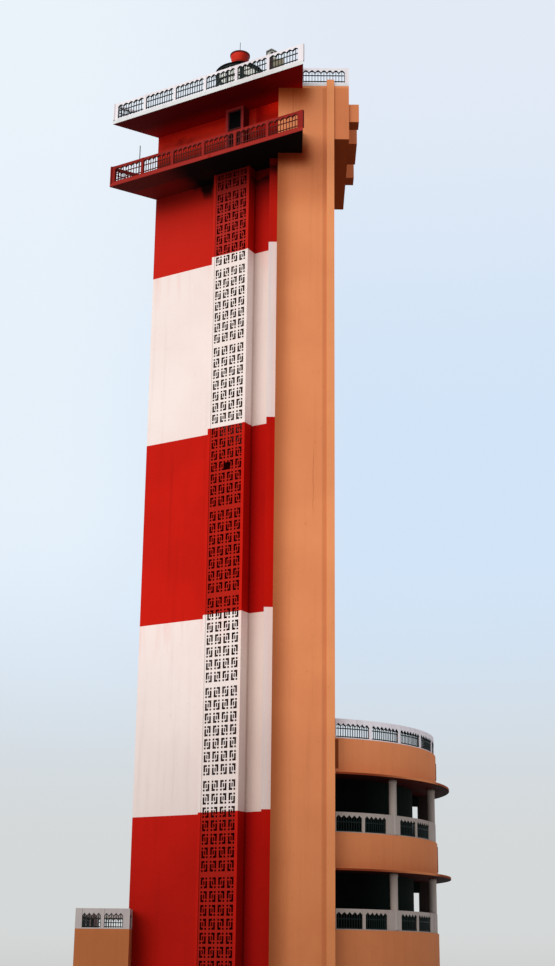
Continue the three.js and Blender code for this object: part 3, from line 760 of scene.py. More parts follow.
def roof_render(settings):
    """The roof slab: a pale edge, orange over the head, and a dark red soffit, darker to the left and with
    painted light near the wall.
    """
    finish = weathered("roof_render", linear(206, 206, 204), streak=0.4)
    over_head = finish.where(x=(SHAFT_LEFT - 0.1, SHAFT_LEFT), y=(-5.1, -4.98), z=(45.16, 45.14))
    finish.colour = finish.mix(over_head, finish.colour, tuple(settings.orange_paint))
    soffit = finish.where(finish.underside, z=(ROOF_UNDER + 0.08, ROOF_UNDER + 0.02))
    finish.paint((104, 4, 2), soffit)
    # The soffit darker to the left of the head
    soffit_right = finish.rise(finish.x + finish.noise(0.5, 4.0) * 3.0, 1.6, 3.2)
    finish.tint((0.55, 0.5, 0.5), soffit * (1.0 - soffit_right))
    # Painted light: the soffit lighter and redder near the wall
    finish.tint((3.4, 1.6, 2.4), soffit, outward=(-0.1, 0.0, 0.0, 1.3))
    finish.matt(0.7)


def orange_render(settings):
    """The orange render of the shaft, its head room, the annex and the wing."""
    finish = weathered("orange_render", settings.orange_paint, streak=0.15, fade=0.7)
    painted_ground_shade(finish, (0.61, 0.58, 0.53))
    finish.tint((0.76, 0.74, 0.66), x=(-4.9, -4.95), z=(4.3, 4.2))
    orange_shaft(finish)
    orange_annex(finish)
    finish.matt(0.74)


def orange_shaft(finish):
    """Shadows on the shaft's front, its dark left edge, stripe, joint and crack, and its shaded head."""
    front = finish.where(y=(SHAFT_FRONT - 0.05, SHAFT_FRONT + 0.05, 0.02))
    edge = finish.where(x=(2.7, SHAFT_LEFT))
    edge = edge * edge * front
    finish.tint((0.55, 0.46, 0.4), edge, z=(41.6, 41.0))
    finish.tint((0.85, 0.82, 0.8), edge, z=(25.0, 14.0))
    finish.tint((0.8, 0.68, 0.6), front, x=(3.1, 2.5), z=(40.0, 41.6, 41.6, 42.4))
    finish.tint((0.84, 0.76, 0.73), front, z=(37.6, 39.4, 41.2, 42.4))
    finish.tint((0.4, 0.16, 0.08), front, x=(3.3, 2.5), z=(40.3, 41.1, 41.3, 42.3))
    finish.tint((0.5, 0.25, 0.12), front, x=(3.3, 2.5), z=(43.2, 45.0))
    finish.tint((0.84, 0.8, 0.78), front, x=(3.57, 3.75, 0.04))
    finish.tint((0.7, 0.62, 0.6), front, x=(2.07, 2.1, 0.012), z=(43.2, 43.4))
    crack = finish.within(finish.noise(1.3, 3.0) * 0.12 + finish.x, 3.20, 3.225, 0.012)
    finish.tint((0.7, 0.62, 0.58), crack * front, z=(22.6, 25.6, 0.6))
    fin = finish.where(y=(SHAFT_FRONT - 0.02, SHAFT_FRONT - 0.05))
    finish.tint((1.03, 1.1, 1.1), fin)
    head = finish.where(z=(40.6, 45.3, 0.1), x=(SHAFT_RIGHT, SHAFT_RIGHT + 0.02))
    finish.tint((0.86, 0.8, 0.78), head * (1.0 - fin))
    finish.tint((0.3, 0.16, 0.06), finish.underside, z=(40.0, 41.0))


def orange_annex(finish):
    """The annex lighter against the painted ground shade, painted shade under its canopies, their dark rims,
    and painted shadow in the gap at the shaft.
    """
    # Painted light: the annex a little lighter, against the painted ground shade
    finish.tint((1.1, 1.1, 1.1), x=(SHAFT_RIGHT + 0.01, 4.3), z=(13.0, 12.5))
    # Painted shade on the canopies' undersides
    for low, high in CANOPY_UNDERSIDES:
        finish.tint((0.08, 0.012, 0.002), finish.underside, z=(low, high, 0.02))
    for low, high in CANOPY_RIMS:
        rim = finish.where(z=(low, high, 0.004))
        finish.tint((0.3, 0.14, 0.1), rim, x=(SHAFT_RIGHT + 0.01, SHAFT_RIGHT + 0.05, 5.6, 8.8))
        finish.tint((0.4, 0.25, 0.2), rim, x=(8.6, 9.2))
    # Painted shadow in the gap beside the shaft
    finish.tint((0.35, 0.22, 0.15), x=(SHAFT_RIGHT, 4.33, 0.02), y=(-3.9, -4.05), z=(11.0, 12.3, 0.03))


def annex_concrete():
    """Columns, floors and verandah railings: greyish lilac paint over concrete."""
    finish = weathered("annex_concrete", linear(157, 143, 134), streak=0.4)
    # Painted shade on the undersides below 15 m
    finish.tint((0.25, 0.22, 0.24), finish.underside, z=(20.0, 15.0))
    finish.matt(0.7)


def white_concrete(settings):
    """The pale railings, greyer on their top edges, with painted shade on their undersides and darker below 8
    m.
    """
    finish = weathered("white_concrete", settings.railing_paint, streak=0.4, spots=0.35)
    finish.tint((0.7, 0.7, 0.72), 0.5, facing_z=(0.5, 0.9))
    # Painted shade on the undersides
    finish.tint((0.4, 0.3, 0.32), finish.underside)
    finish.tint((0.5, 0.48, 0.44), z=(8.0, 6.0))
    finish.matt(0.7)


def shaded_render():
    """Dark green paint of the verandahs' inner walls, made near black as painted shade, and all but black
    towards the left.
    """
    finish = weathered("shaded_render", linear(9, 19, 14), streak=0.3)
    # Painted shade: all but black towards the left
    finish.tint((0.1, 0.1, 0.1), x=(6.4, 5.4))
    finish.matt(0.8, 0.1)


def iron_paint(settings):
    """Dark green gloss paint on iron, dull in places, with rust coming through."""
    finish = Finish("iron_paint", settings.iron_paint, 0.08)
    patches = finish.noise(1.5, 4.0)
    finish.tint((1.5, 1.4, 1.4), finish.rise(patches, 0.35, 0.7))
    rust = finish.rise(finish.noise(7.0, 5.0, 0.7), 0.6, 0.75) * 0.5
    finish.paint((74, 44, 32), rust)
    # Darker near the dome's rim, and painted shade on the undersides under the middle ring
    dome_rim = finish.where(z=(DOME_FOOT - 0.02, DOME_RIM, 0.02))
    under_dome = finish.where(finish.underside, z=(48.0, 48.5))
    finish.tint((0.3, 0.3, 0.3), dome_rim + under_dome)
    finish.relief(finish.noise(30.0) + rust * 0.5, 0.0008)
    finish.close((patches * 0.3 + rust * 0.4 + 0.25).clamped())


def cowl_gloss(settings):
    """Red gloss of the cowl: orange on its left, with painted shade on its right and at its foot, and a few
    dents.
    """
    finish = Finish("cowl_gloss", settings.cowl_paint, 0.1)
    patches = finish.noise(1.1, 4.0)
    finish.tint((0.86, 0.8, 0.8), finish.rise(patches, 0.35, 0.7))
    # Painted shade on the cowl's right side
    finish.tint((0.4, 0.2, 0.4), x=(LANTERN_CENTRE.x - 0.1, LANTERN_CENTRE.x + 0.5))
    # Painted shade at the cowl's foot
    finish.tint((0.5, 0.4, 0.4), z=(DOME_TOP + 0.2, DOME_TOP))
    dents = finish.rise(finish.noise(5.0, 2.0), 0.62, 0.7)
    finish.tint((0.3, 0.25, 0.25), dents)
    finish.relief(finish.noise(25.0) - dents, 0.002)
    finish.close((patches * 0.2 + 0.4).clamped())


def lantern_glazing():
    """Clear glazing with a little salt haze."""
    finish = Finish("lantern_glazing", linear(214, 226, 226), 0.5)
    haze = finish.noise(2.5, 5.0, 0.6)
    finish.shader.inputs["IOR"].default_value = 1.45
    alpha = (finish.rise(haze, 0.45, 0.75) * 0.08 + 0.04).clamped()
    finish.feed(finish.shader.inputs["Alpha"], alpha)
    finish.relief(haze, 0.0006)
    finish.close((haze * 0.12).clamped())


def lantern_ceiling():
    """Pale ceiling of the lantern, with painted light: it glows a little, standing in for the light that
    comes through the glazing.
    """
    finish = weathered("lantern_ceiling", linear(226, 228, 220), streak=0.2)
    # Painted light: the ceiling glows in its own colour
    finish.feed(finish.shader.inputs["Emission Color"], finish.colour)
    finish.shader.inputs["Emission Strength"].default_value = 0.45
    finish.matt(0.7, 0.1)


# Small parts' paints in screen values
PLAIN_PAINTS = {
    # The screens' reveals, dark as painted shade in the openings
    "red_reveal": (120, 8, 6),
    "white_reveal": (60, 52, 46),
    "door_paint": (74, 26, 28),
    "cabinet_paint": (196, 194, 184),
    "cabinet_edge": (128, 128, 124),
    "cabinet_side": (136, 127, 106),
    "cabinet_frame": (66, 46, 46),
    "pier_paint": (40, 30, 26),
    "spout_paint": (138, 76, 50),
    "rim_paint": (78, 24, 20),
}
SLOT_FINISHES = {
    "red_wall": "red_render",
    "white_wall": "white_render",
    "orange_wall": "orange_render",
    "pale_concrete": "annex_concrete",
    "white_railing": "white_concrete",
    "inner_wall": "shaded_render",
    "lantern_iron": "iron_paint",
    "lantern_red": "cowl_gloss",
    "lantern_glass": "lantern_glazing",
}
NODE_FINISHES = {"roof_slab": "roof_render"}


class LIGHTHOUSE_OT_finishes(bpy.types.Operator):
    """Make the finishes and put one on every CAD node"""

    bl_idname = "lighthouse.finishes"
    bl_label = "Finishes"

    def execute(self, context):
        settings = context.scene.lighthouse_finishes
        for finish in (red_render, white_render, roof_render, orange_render):
            finish(settings)
        for finish in (white_concrete, iron_paint, cowl_gloss):
            finish(settings)
        for finish in (gallery_red, red_iron, annex_concrete, shaded_render):
            finish()
        lantern_glazing()
        lantern_ceiling()
        for name, colour in PLAIN_PAINTS.items():
            weathered(name, linear(*colour), 0.3).matt(0.64)
        weathered("dome_black", linear(12, 11, 12), 0.3, gloss=0.0).matt(0.64)
        weathered("dark_timber", linear(8, 6, 6), 0.3, gloss=0.02).matt(0.54)
        slots = {part["node"]: part["material_slot"] for part in frame["record"]["subparts"]}
        for name, node in frame["nodes"].items():
            material = bpy.data.materials[NODE_FINISHES.get(name, SLOT_FINISHES[slots[name]])]
            if not node.material_slots:
                node.data.materials.append(material)
            for slot in node.material_slots:
                slot.material = material
        return {"FINISHED"}


# Pierced screens of the stair bay


def key_cell_open(u, v, mirrored):
    """Whether a place in a block is open; both shares run from 0 to 1."""
    across = 1 - u if mirrored else u
    return any(a < across < b and c < v < d for a, b, c, d in KEY_OPENINGS)


def key_rows(settings):
    """Blocks of the whole screen as (row number, bottom, top), from the ground to the lower gallery."""
    rows = []
    pitch = settings.row_pitch
    spare = (STOREY - KEY_ROWS * pitch) / 2
    margin = pitch * (1 - settings.block_height) / 2
    for landing in range(-1, LANDING_COUNT):
        first = FIRST_LANDING + landing * STOREY + spare
        for row in range(KEY_ROWS):
            low = first + row * pitch + margin
            high = first + (row + 1) * pitch - margin
            if KEY_CLEARANCE < low < LOWER_UNDER - KEY_CLEARANCE:
                rows.append((row, low, min(high, LOWER_UNDER - KEY_TOP_EDGE)))
    return rows


def screen_plate(low, high, settings):
    """One band's screen as a pierced plate: cells that share their corners, solid or open."""
    left, right = BAY_INSIDE
    pitch = (right - left) / KEY_COLUMNS
    width = pitch * settings.block_width
    full_height = settings.row_pitch * settings.block_height
    shares_across = sorted({share for a, b, _, _ in KEY_OPENINGS for share in (a, b, 1 - a, 1 - b)})
    shares_down = sorted({share for _, _, c, d in KEY_OPENINGS for share in (c, d)})
    blocks = [left + (i + 0.5) * pitch - width / 2 + KEY_SHIFT for i in range(KEY_COLUMNS)]
    broken_left, broken_right, broken_low, broken_high = BROKEN_BLOCK
    edges_along = {left, right, broken_left, broken_right}
    for start in blocks:
        edges_along.update(start + share * width for share in shares_across)
    rows = [row for row in key_rows(settings) if row[1] < high and row[2] > low]
    edges_up = {low, high, broken_low, broken_high}
    for _, bottom, top in rows:
        edges_up.update(bottom + share * full_height for share in shares_down)
        edges_up.add(top)
    along = merged_edges(edges_along, left, right)
    up = merged_edges(edges_up, low, high)

    def is_open(s, z):
        if broken_left < s < broken_right and broken_low < z < broken_high:
            return True
        for row, bottom, top in rows:
            if bottom < z < top:
                for column, start in enumerate(blocks):
                    if start < s < start + width:
                        down = 1 - (z - bottom) / full_height
                        return key_cell_open((s - start) / width, down, (row + column) % 2 == 1)
        return False

    solid = {
        (i, j)
        for i in range(len(along) - 1)
        for j in range(len(up) - 1)
        if not is_open((along[i] + along[i + 1]) / 2, (up[j] + up[j + 1]) / 2)
    }
    return pierced_plate(along, up, solid)


def merged_edges(edges, low, high):
    """Sorted edges within a range, without any that all but meet."""
    kept = []
    for edge in sorted(edges):
        if low <= edge <= high and (not kept or edge - kept[-1] > 1e-4):
            kept.append(edge)
    return kept


def pierced_plate(along, up, solid):
    """Front, back and side faces of the solid cells of a grid."""
    shape = Shape()
    numbers = {}

    def corner(i, j, outward):
        key = (i, j, outward)
        if key not in numbers:
            numbers[key] = len(shape.corners)
            shape.corners.append(face_place(along[i], outward, up[j]))
        return numbers[key]

    sides = (
        ((-1, 0), (0, 1), (0, 0)),
        ((1, 0), (1, 0), (1, 1)),
        ((0, -1), (0, 0), (1, 0)),
        ((0, 1), (1, 1), (0, 1)),
    )
    for i, j in sorted(solid):
        square = ((i, j), (i + 1, j), (i + 1, j + 1), (i, j + 1))
        shape.add_face([corner(a, b, SCREEN_OUT) for a, b in square])
        shape.add_face([corner(a, b, SCREEN_BACK) for a, b in reversed(square)])
        for (di, dj), (ai, aj), (bi, bj) in sides:
            if (i + di, j + dj) in solid:
                continue
            shape.add_face((
                corner(i + ai, j + aj, SCREEN_OUT),
                corner(i + bi, j + bj, SCREEN_OUT),
                corner(i + bi, j + bj, SCREEN_BACK),
                corner(i + ai, j + aj, SCREEN_BACK),
            ), False, 1)
    return shape


class LIGHTHOUSE_OT_screens(bpy.types.Operator):
    """Build the key-pattern screens of the stair bay, one for every colour band"""

    bl_idname = "lighthouse.screens"
    bl_label = "Stair screens"

    def execute(self, context):
        settings = context.scene.lighthouse_screens
        tops = (*BAND_LEVELS[1:], LOWER_UNDER)
        for band, (low, high) in enumerate(zip(BAND_LEVELS, tops)):
            colour = "red" if band % 2 == 0 else "white"
            shape = screen_plate(low, high, settings)
            # The second paint, on the openings' sides, is dark as painted shade
            paints = [f"{colour}_render", f"{colour}_reveal"]
            shape.build(f"key_screen_{band + 1}", f"{colour}_wall", paints, [f"stair_screen_band_{band + 1}"])
        return {"FINISHED"}


# Railings with scalloped beams and thin iron bars


def corner_offset(before, after):
    """How far a run starts from its corner, so that it leaves the corner to the run before it."""
    turn = before.x * after.y - before.y * after.x
    return RAIL_THICK / turn if turn > 0.1 else 0.0


def post_spans(length, bays, first, ends):
    """Posts of a straight run: broad ones at its ends and slimmer ones between the bays."""
    spans = [first]
    for i in range(1, bays):
        middle = ends / 2 + (length - ends) * i / bays
        spans.append((middle - POST_WIDTH / 2, middle + POST_WIDTH / 2))
    spans.append((length - ends, length))
    return spans


class Railing:
    """Kerbs, posts and scalloped beams are a railing's body, and lips, bars and thin rails its iron; a lip is
    partly dark paint and partly painted shade of the beam's underside.
    """

    def __init__(self, base, profile, settings, low=False):
        self.body = Shape()
        self.iron = Shape()
        self.base = base
        self.profile = profile
        self.pointed = low
        self.top = base + (settings.low_height if low else settings.gallery_height)
        self.pitch = settings.low_pitch if low else settings.scallop_pitch
        self.half_bar = settings.bar_width / 2

    def run(self, place, span, posts, step=None):
        """Adds a run between two values along; a bent run is cut into steps."""
        deck = self.base + self.profile[0]
        self.body.box(place, span, (0.0, RAIL_THICK), (self.base, deck), 0, step)
        for post in posts:
            self.body.box(place, post, (0.0, RAIL_THICK), (deck, self.top), 0, step)
        for (_, start), (end, _) in zip(posts[:-1], posts[1:]):
            if end - start >= NARROWEST_BAY:
                count = max(1, round((end - start) / self.pitch))
                self.beam(place, start, end, count)
                self.bars(place, start, end, count)
                for level in self.profile[1:3]:
                    rail = (self.base + level - THIN_RAIL, self.base + level + THIN_RAIL)
                    self.iron.box(place, (start, end), mid_depth(THIN_RAIL), rail, 0, step)

    def beam(self, place, start, end, count):
        """A bay's beam, whose underside has round or pointed crowns, with the dark lip under it, partly dark
        paint and partly painted shade.
        """
        _, _, _, cusp, crown, lip = self.profile
        beam = []
        dark_lip = []
        for i in range(count * SCALLOP_SAMPLES + 1):
            share = i / SCALLOP_SAMPLES
            s = start + (end - start) * share / count
            swell = 1 - abs(2 * (share % 1) - 1) if self.pointed else math.sin(math.pi * (share % 1))
            foot = self.base + (cusp + (crown - cusp) * swell)
            beam.append(section(place, s, mid_depth(BEAM_HALF), (foot, self.top)))
            dark_lip.append(section(place, s, mid_depth(LIP_HALF), (foot - lip, foot)))
        self.body.sweep(beam)
        self.iron.sweep(dark_lip)

    def bars(self, place, start, end, count):
        """Two upright bars to a scallop, one under its cusp and one under its crown."""
        kerb, _, _, cusp, crown, lip = self.profile
        half = self.half_bar
        for i in range(2 * count + 1):
            s = start + (end - start) * i / (2 * count)
            s = min(max(s, start + half), end - half)
            heights = (self.base + kerb, self.base + (crown if i % 2 else cusp) - lip / 2)
            self.iron.box(place, (s - half, s + half), mid_depth(half), heights)

    def straight(self, corners, bays, first_post=END_POST, ends=END_POST):
        """Adds a straight run of bays between each two corners."""
        before = None
        for start, end, count in zip(corners[:-1], corners[1:], bays):
            edge = Vector(end) - Vector(start)
            direction = edge.normalized()
            first = (corner_offset(before, direction), ends) if before else (0.0, first_post)
            posts = post_spans(edge.length, count, first, ends)
            self.run(straight_place(start, end), (first[0], edge.length), posts)
            before = direction

    def curved(self, post_angles):
        """Adds the run round the annex, with its posts given in degrees."""
        length = RAIL_RADIUS * math.radians(RAIL_LAST - RAIL_FIRST)
        posts = [(0.0, 0.03)]
        for angles in post_angles:
            posts.append(tuple(RAIL_RADIUS * math.radians(degrees - RAIL_FIRST) for degrees in angles))
        posts.append((length - 0.1, length))
        self.run(round_place(ANNEX_CENTRE, RAIL_RADIUS, RAIL_FIRST), (0.0, length), posts, CURVE_STEP)

    def build(self, name, slot, finishes, node, bar_slot="lantern_iron", bar_finish="iron_paint"):
        self.body.build(name, slot, finishes, [node])
        self.iron.build(name + "_bars", bar_slot, [bar_finish])


def mid_depth(half):
    """Depths to both sides of a railing's middle."""
    return (RAIL_THICK / 2 - half, RAIL_THICK / 2 + half)


def columns(body, low, high):
    """Round columns, a little wider at the foot and the head."""
    outline = (
        (COLUMN_RADIUS, low),
        (COLUMN_RADIUS, low + 0.12),
        (COLUMN_NECK, low + 0.14),
        (COLUMN_NECK, high - 0.16),
        (COLUMN_RADIUS, high - 0.13),
        (COLUMN_RADIUS, high),
    )
    for degrees in COLUMN_ANGLES:
        body.turned(outline, ANNEX_CENTRE + COLUMN_CIRCLE * heading(degrees), 28)


def pier(body, low, high):
    """The dark pier between a verandah's two halves."""
    radial = heading(PIER_ANGLE)
    start = ANNEX_CENTRE + radial * PIER_SPAN[0] + Vector((radial.y, -radial.x)) * (PIER_THICK / 2)
    length = PIER_SPAN[1] - PIER_SPAN[0]
    place = straight_place(start, start + radial * length)
    body.box(place, (0.0, length), (0.0, PIER_THICK), (low, high), 1)


class LIGHTHOUSE_OT_straight_railings(bpy.types.Operator):
    """Build the galleries', roof's and wing's railings"""

    bl_idname = "lighthouse.straight_railings"
    bl_label = "Straight railings"

    def execute(self, context):
        settings = context.scene.lighthouse_railings
        pale = ("white_railing", ["white_concrete"])
        red = ("red_wall", ["gallery_red"])
        railing = Railing(LOWER_TOP, GALLERY_PROFILE, settings)
        railing.straight(GALLERY_CORNERS, GALLERY_BAYS)
        railing.build("gallery_railing_lower", *red, "lower_gallery_railing", "red_wall", "red_iron")
        railing = Railing(ROOF_TOP, GALLERY_PROFILE, settings)
        railing.straight(GALLERY_CORNERS, GALLERY_BAYS)
        railing.build("gallery_railing_roof", *pale, "roof_gallery_railing")
        railing = Railing(ROOF_TOP, ROOF_BACK_PROFILE, settings)
        railing.straight(ROOF_BACK_CORNERS, ROOF_BACK_BAYS, first_post=0.02, ends=0.2)
        railing.build("roof_railing_back", *pale, "roof_back_railing")
        railing = Railing(WING_TOP, TERRACE_PROFILE, settings, low=True)
        railing.straight(WING_CORNERS, WING_BAYS)
        railing.build("wing_roof_railing", *pale, "wing_railing")
        return {"FINISHED"}


class LIGHTHOUSE_OT_verandahs(bpy.types.Operator):
    """Build the round annex's columns, verandah railings and terrace railing"""

    bl_idname = "lighthouse.verandahs"
    bl_label = "Verandahs"

    def execute(self, context):
        settings = context.scene.lighthouse_railings
        paints = ["annex_concrete", "pier_paint"]
        for level, soffit in enumerate(SOFFITS):
            railing = Railing(PARAPET_TOPS[level], VERANDAH_PROFILE, settings, low=True)
            columns(railing.body, PARAPET_TOPS[level], soffit)
            pier(railing.body, PARAPET_TOPS[level], soffit)
            railing.curved(VERANDAH_POSTS)
            railing.build(f"verandah_{level + 1}", "pale_concrete", paints, f"annex_colonnade_{level + 1}")
        railing = Railing(PARAPET_TOPS[2], TERRACE_PROFILE, settings, low=True)
        railing.curved(TERRACE_POSTS)
        railing.build("terrace_railing", "white_railing", ["white_concrete"], "annex_terrace_railing")
        return {"FINISHED"}


# Lantern


def glazing_frame(settings):
    shape = Shape()
    low, high = GLAZING
    for heights in ((low, low + RING_HEIGHT), MIDDLE_RING, (high - RING_HEIGHT, high)):
        shape.hoop(LANTERN_CENTRE, (LANTERN_RADIUS - 0.06, LANTERN_RADIUS), heights)
    for i in range(settings.bar_count):
        half = (settings.bar_width if i else settings.front_bar_width) / 2
        place = round_place(LANTERN_CENTRE, LANTERN_RADIUS, FIRST_GLAZING_BAR + i * 360 / settings.bar_count)
        shape.box(place, (-half, half), (-0.012, 0.055), GLAZING, 0, 0.06)
    shape.build("lantern_glazing_bars", "lantern_iron", ["iron_paint"], ["lantern_frame"])


def dome():
    """The black shell of the dome, its pale ceiling and the flat edge between them."""
    shape = Shape()
    edge = (DOME_INSIDE[-1], DOME_OUTSIDE[0])
    for profile, paint in (((*DOME_OUTSIDE, DOME_INSIDE[0]), 0), (DOME_INSIDE, 1), (edge, 0)):
        shape.turned(profile, LANTERN_CENTRE, 64, paint, smooth=False, capped=False)
    shape.build("lantern_dome_shell", "lantern_iron", ["dome_black", "lantern_ceiling"], ["lantern_dome"])


def cowl():
    shape = Shape()
    shape.turned(COWL_OUTSIDE, LANTERN_CENTRE, 56)
    shape.build("lantern_cowl_shell", "lantern_red", ["cowl_gloss"], ["lantern_cowl"])
    trim = Shape()
    trim.hoop(LANTERN_CENTRE, COWL_RIM_RADII, COWL_RIM_HEIGHTS, 56, 1)
    trim.tube(raised(LANTERN_CENTRE, COWL_TOP - 0.02), raised(LANTERN_CENTRE, ROD_TOP), ROD_RADIUS)
    trim.build("lantern_rod_and_rim", "lantern_iron", ["iron_paint", "rim_paint"])


class LIGHTHOUSE_OT_lantern(bpy.types.Operator):
    """Build the lantern's glazing bars, dome, cowl and rod"""

    bl_idname = "lighthouse.lantern"
    bl_label = "Lantern"

    def execute(self, context):
        glazing_frame(context.scene.lighthouse_lantern)
        dome()
        cowl()
        return {"FINISHED"}


# Doorway to the lower gallery, roof cabinet and small parts


def doorway():
    """A frame just inside the surround, a panelled leaf and a dark pane over the transom."""
    left, right = DOORWAY
    inside = (left + FRAME_WIDTH, right - FRAME_WIDTH)
    head = DOOR_TOP - FRAME_HEAD
    depth = (SURROUND_OUT - 0.1, SURROUND_OUT - 0.02)
    shape = Shape()
    shape.box(face_place, (left, inside[0]), depth, (LOWER_TOP, DOOR_TOP))
    shape.box(face_place, (inside[1], right), depth, (LOWER_TOP, DOOR_TOP))
    shape.box(face_place, inside, depth, (head, DOOR_TOP))
    shape.box(face_place, inside, depth, TRANSOM)
    shape.build("gallery_door_frame", "red_wall", ["door_paint"])
    out = SURROUND_OUT - 0.09
    leaf = Shape()
    leaf.box(face_place, inside, (out, out + 0.03), (LOWER_TOP + 0.01, TRANSOM[0]))
    leaf.box(face_place, inside, (out, out + 0.02), (TRANSOM[1], head))
    for heights in LEAF_PANELS_UP:
        for along in LEAF_PANELS_ALONG:
            leaf.box(face_place, along, (out + 0.03, out + 0.042), heights)
    leaf.build("gallery_door_leaf", "inner_wall", ["dark_timber"])


def cabinet():
    """The small cabinet on the roof: gabled body and roof, a frame box, a side box and a round vent."""
    left, right = CABINET_X
    front, back = CABINET_Y
    middle = (left + right) / 2
    eaves = CABINET_EAVES - CABINET_ROOF
    ridge = CABINET_RIDGE - 0.06
    body = ((left + 0.07, ROOF_TOP), (right - 0.07, ROOF_TOP), (right - 0.07, eaves), (middle, ridge),
            (left + 0.07, eaves))
    roof = ((left, eaves), (middle, ridge), (right, eaves), (right, CABINET_EAVES),
            (middle, CABINET_RIDGE), (left, CABINET_EAVES))
    shape = Shape()
    for outline, ends, paint in ((body, (front + 0.07, back - 0.05), 0), (roof, CABINET_Y, 1)):
        shape.sweep([[Vector((x, y, z)) for x, z in outline] for y in ends], False, paint)
    on_front = straight_place((0.0, front + 0.06), (1.0, front + 0.06))
    shape.box(on_front, FRAME_BOX_X, (-0.02, 0.3), (ROOF_TOP, FRAME_BOX_TOP), 3)
    shape.box(on_front, SIDE_BOX_X, (0.0, 0.4), (ROOF_TOP, SIDE_BOX_TOP), 2)
    paints = ["cabinet_paint", "cabinet_edge", "cabinet_side", "cabinet_frame"]
    shape.build("roof_cabinet_shell", "white_wall", paints, ["roof_cabinet"])
    vent = Shape()
    centre = Vector((middle + 0.02, front + 0.055, VENT_HEIGHT))
    vent.tube(centre, centre + Vector((0.0, 0.05, 0.0)), VENT_RADIUS, 20)
    vent.build("roof_cabinet_vent", "lantern_iron", ["iron_paint"])


def spouts():
    """Rain pipes at the annex's right, from the drums' tops down to the canopies."""
    wall = ANNEX_CENTRE + heading(SPOUT_ANGLE) * SPOUT_WALL
    pipe = ANNEX_CENTRE + heading(SPOUT_ANGLE) * SPOUT_PIPE
    shape = Shape()
    for top, foot in SPOUTS:
        shape.tube(raised(wall, top), raised(pipe, top), 0.045, 12)
        shape.tube(raised(pipe, top + 0.045), raised(pipe, foot), 0.04, 12)
    shape.build("annex_rain_spouts", "orange_wall", ["spout_paint"])


def gallery_stay():
    """A thin rod that stands on the lower gallery behind its railing, near the left corner."""
    shape = Shape()
    shape.tube(face_place(*STAY_PLACE, LOWER_TOP), face_place(*STAY_PLACE, STAY_TOP), STAY_RADIUS)
    shape.build("gallery_stay", "lantern_iron", ["iron_paint"])


class LIGHTHOUSE_OT_fittings(bpy.types.Operator):
    """Build the gallery doorway's frame and leaf, the roof cabinet and the small parts"""

    bl_idname = "lighthouse.fittings"
    bl_label = "Fittings"

    def execute(self, context):
        for piece in (doorway, cabinet, spouts, gallery_stay):
            piece()
        return {"FINISHED"}


# Stage


def make_camera():
    """The camera at the photograph's place and angle."""
    sin_yaw, cos_yaw = math.sin(CAMERA_YAW), math.cos(CAMERA_YAW)
    sin_pitch, cos_pitch = math.sin(CAMERA_PITCH), math.cos(CAMERA_PITCH)
    forward = Vector((sin_yaw * cos_pitch, cos_yaw * cos_pitch, sin_pitch))
    level_right = Vector((cos_yaw, -sin_yaw, 0.0))
    level_up = level_right.cross(forward)
    sin_roll, cos_roll = math.sin(CAMERA_ROLL), math.cos(CAMERA_ROLL)
    right = level_right * cos_roll + level_up * sin_roll
    up = level_up * cos_roll - level_right * sin_roll
    data = bpy.data.cameras.new("photo_camera")
    data.sensor_width = CAMERA_SENSOR
    data.lens = CAMERA_LENS
    data.clip_start = 0.5
    data.clip_end = 400.0
    camera = bpy.data.objects.new("photo_camera", data)
    bpy.context.scene.collection.objects.link(camera)
    turn = Matrix((right, up, -forward)).transposed().to_4x4()
    camera.matrix_world = Matrix.Translation(CAMERA_PLACE) @ turn
    bpy.context.scene.camera = camera


def make_floor(settings):
    finish = Finish("plain_floor", linear(206, 206, 204))
    patches = finish.noise(0.3, 3.0)
    finish.tint((1.06, 1.06, 1.06), patches)
    finish.close((patches * 0.1 + 0.75).clamped())
    mesh = bpy.data.meshes.new("floor")
    shell = bmesh.new()
    bmesh.ops.create_circle(shell, cap_ends=True, radius=settings.floor_radius, segments=96)
    shell.to_mesh(mesh)
    shell.free()
    mesh.materials.append(finish.material)
    floor = bpy.data.objects.new("floor", mesh)
    floor.location = (0.0, 0.0, -0.002)
    bpy.context.scene.collection.objects.link(floor)


def make_sky(settings):
    """Pale overcast sky: greyish at the horizon, light blue above it and whiter to the left."""
    world = bpy.data.worlds.new("soft_sky")
    world.use_nodes = True
    bpy.context.scene.world = world
    shading = Shading(world.node_tree)
    direction = shading.node("ShaderNodeTexCoord", output="Generated")
    shading.across, _, shading.up = shading.split(direction)
    shading.colour = linear(*HORIZON)
    for low, high, colour in SKY_BANDS:
        shading.paint(colour, up=(low, high))
    shading.paint((238, 246, 252), 0.7, across=(0.05, -0.16), up=(0.1, 0.3))
    background = shading.tree.nodes["Background"]
    shading.feed(background.inputs["Color"], shading.colour)
    background.inputs["Strength"].default_value = settings.sky_strength


def make_key(settings):
    data = bpy.data.lights.new("soft_key", "SUN")
    data.energy = settings.key_strength
    data.angle = KEY_SPREAD
    data.color = (1.0, 0.985, 0.96)
    key = bpy.data.objects.new("soft_key", data)
    key.rotation_euler = KEY_TURN
    bpy.context.scene.collection.objects.link(key)


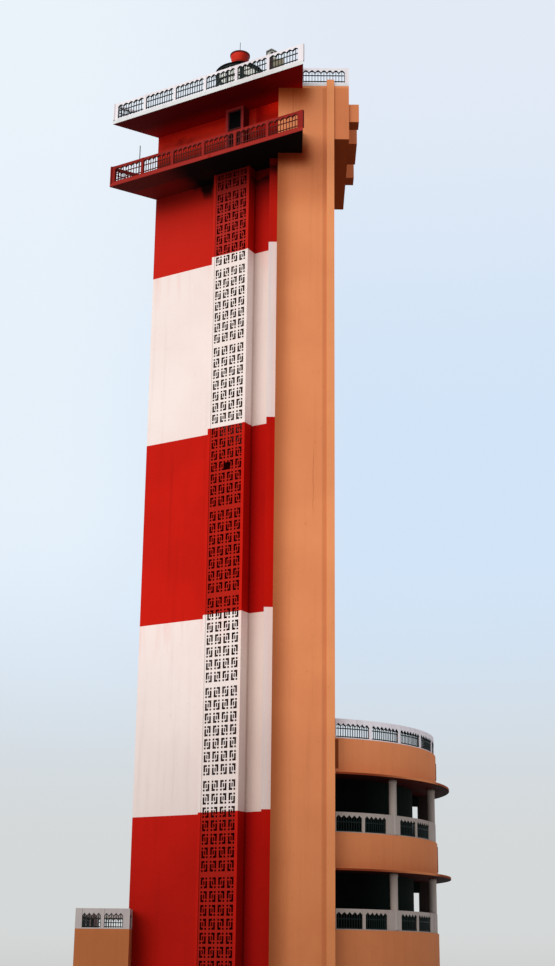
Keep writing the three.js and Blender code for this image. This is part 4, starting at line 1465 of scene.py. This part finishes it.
class LIGHTHOUSE_OT_stage(bpy.types.Operator):
    """Make the plain floor, the soft light, the sky and the camera"""

    bl_idname = "lighthouse.stage"
    bl_label = "Stage"

    def execute(self, context):
        settings = context.scene.lighthouse_stage
        make_floor(settings)
        make_sky(settings)
        make_key(settings)
        make_camera()
        context.scene.view_settings.view_transform = "Standard"
        return {"FINISHED"}


# Panel and registration


class LIGHTHOUSE_PT_panel(bpy.types.Panel):
    """Lists the lighthouse's pieces in the sidebar"""

    bl_label = "Lighthouse"
    bl_space_type = "VIEW_3D"
    bl_region_type = "UI"
    bl_category = "Lighthouse"

    def draw(self, context):
        for operator in OPERATORS:
            self.layout.operator(operator.bl_idname)
        for group in SETTINGS:
            settings = getattr(context.scene, group)
            for name in settings.bl_rna.properties.keys():
                if name not in {"rna_type", "name"}:
                    self.layout.prop(settings, name)


OPERATORS = (
    LIGHTHOUSE_OT_finishes,
    LIGHTHOUSE_OT_screens,
    LIGHTHOUSE_OT_straight_railings,
    LIGHTHOUSE_OT_verandahs,
    LIGHTHOUSE_OT_lantern,
    LIGHTHOUSE_OT_fittings,
    LIGHTHOUSE_OT_stage,
)
SETTINGS = {
    "lighthouse_finishes": FinishSettings,
    "lighthouse_screens": ScreenSettings,
    "lighthouse_railings": RailingSettings,
    "lighthouse_lantern": LanternSettings,
    "lighthouse_stage": StageSettings,
}


def register():
    for group in SETTINGS.values():
        bpy.utils.register_class(group)
    for name, group in SETTINGS.items():
        setattr(bpy.types.Scene, name, bpy.props.PointerProperty(type=group))
    for operator in OPERATORS:
        bpy.utils.register_class(operator)
    bpy.utils.register_class(LIGHTHOUSE_PT_panel)


def unregister():
    bpy.utils.unregister_class(LIGHTHOUSE_PT_panel)
    for operator in reversed(OPERATORS):
        bpy.utils.unregister_class(operator)
    for name, group in SETTINGS.items():
        delattr(bpy.types.Scene, name)
        bpy.utils.unregister_class(group)


def main():
    register()
    bpy.ops.lighthouse.finishes()
    bpy.ops.lighthouse.screens()
    bpy.ops.lighthouse.straight_railings()
    bpy.ops.lighthouse.verandahs()
    bpy.ops.lighthouse.lantern()
    bpy.ops.lighthouse.fittings()
    bpy.ops.lighthouse.stage()


if __name__ == "__main__":
    main()
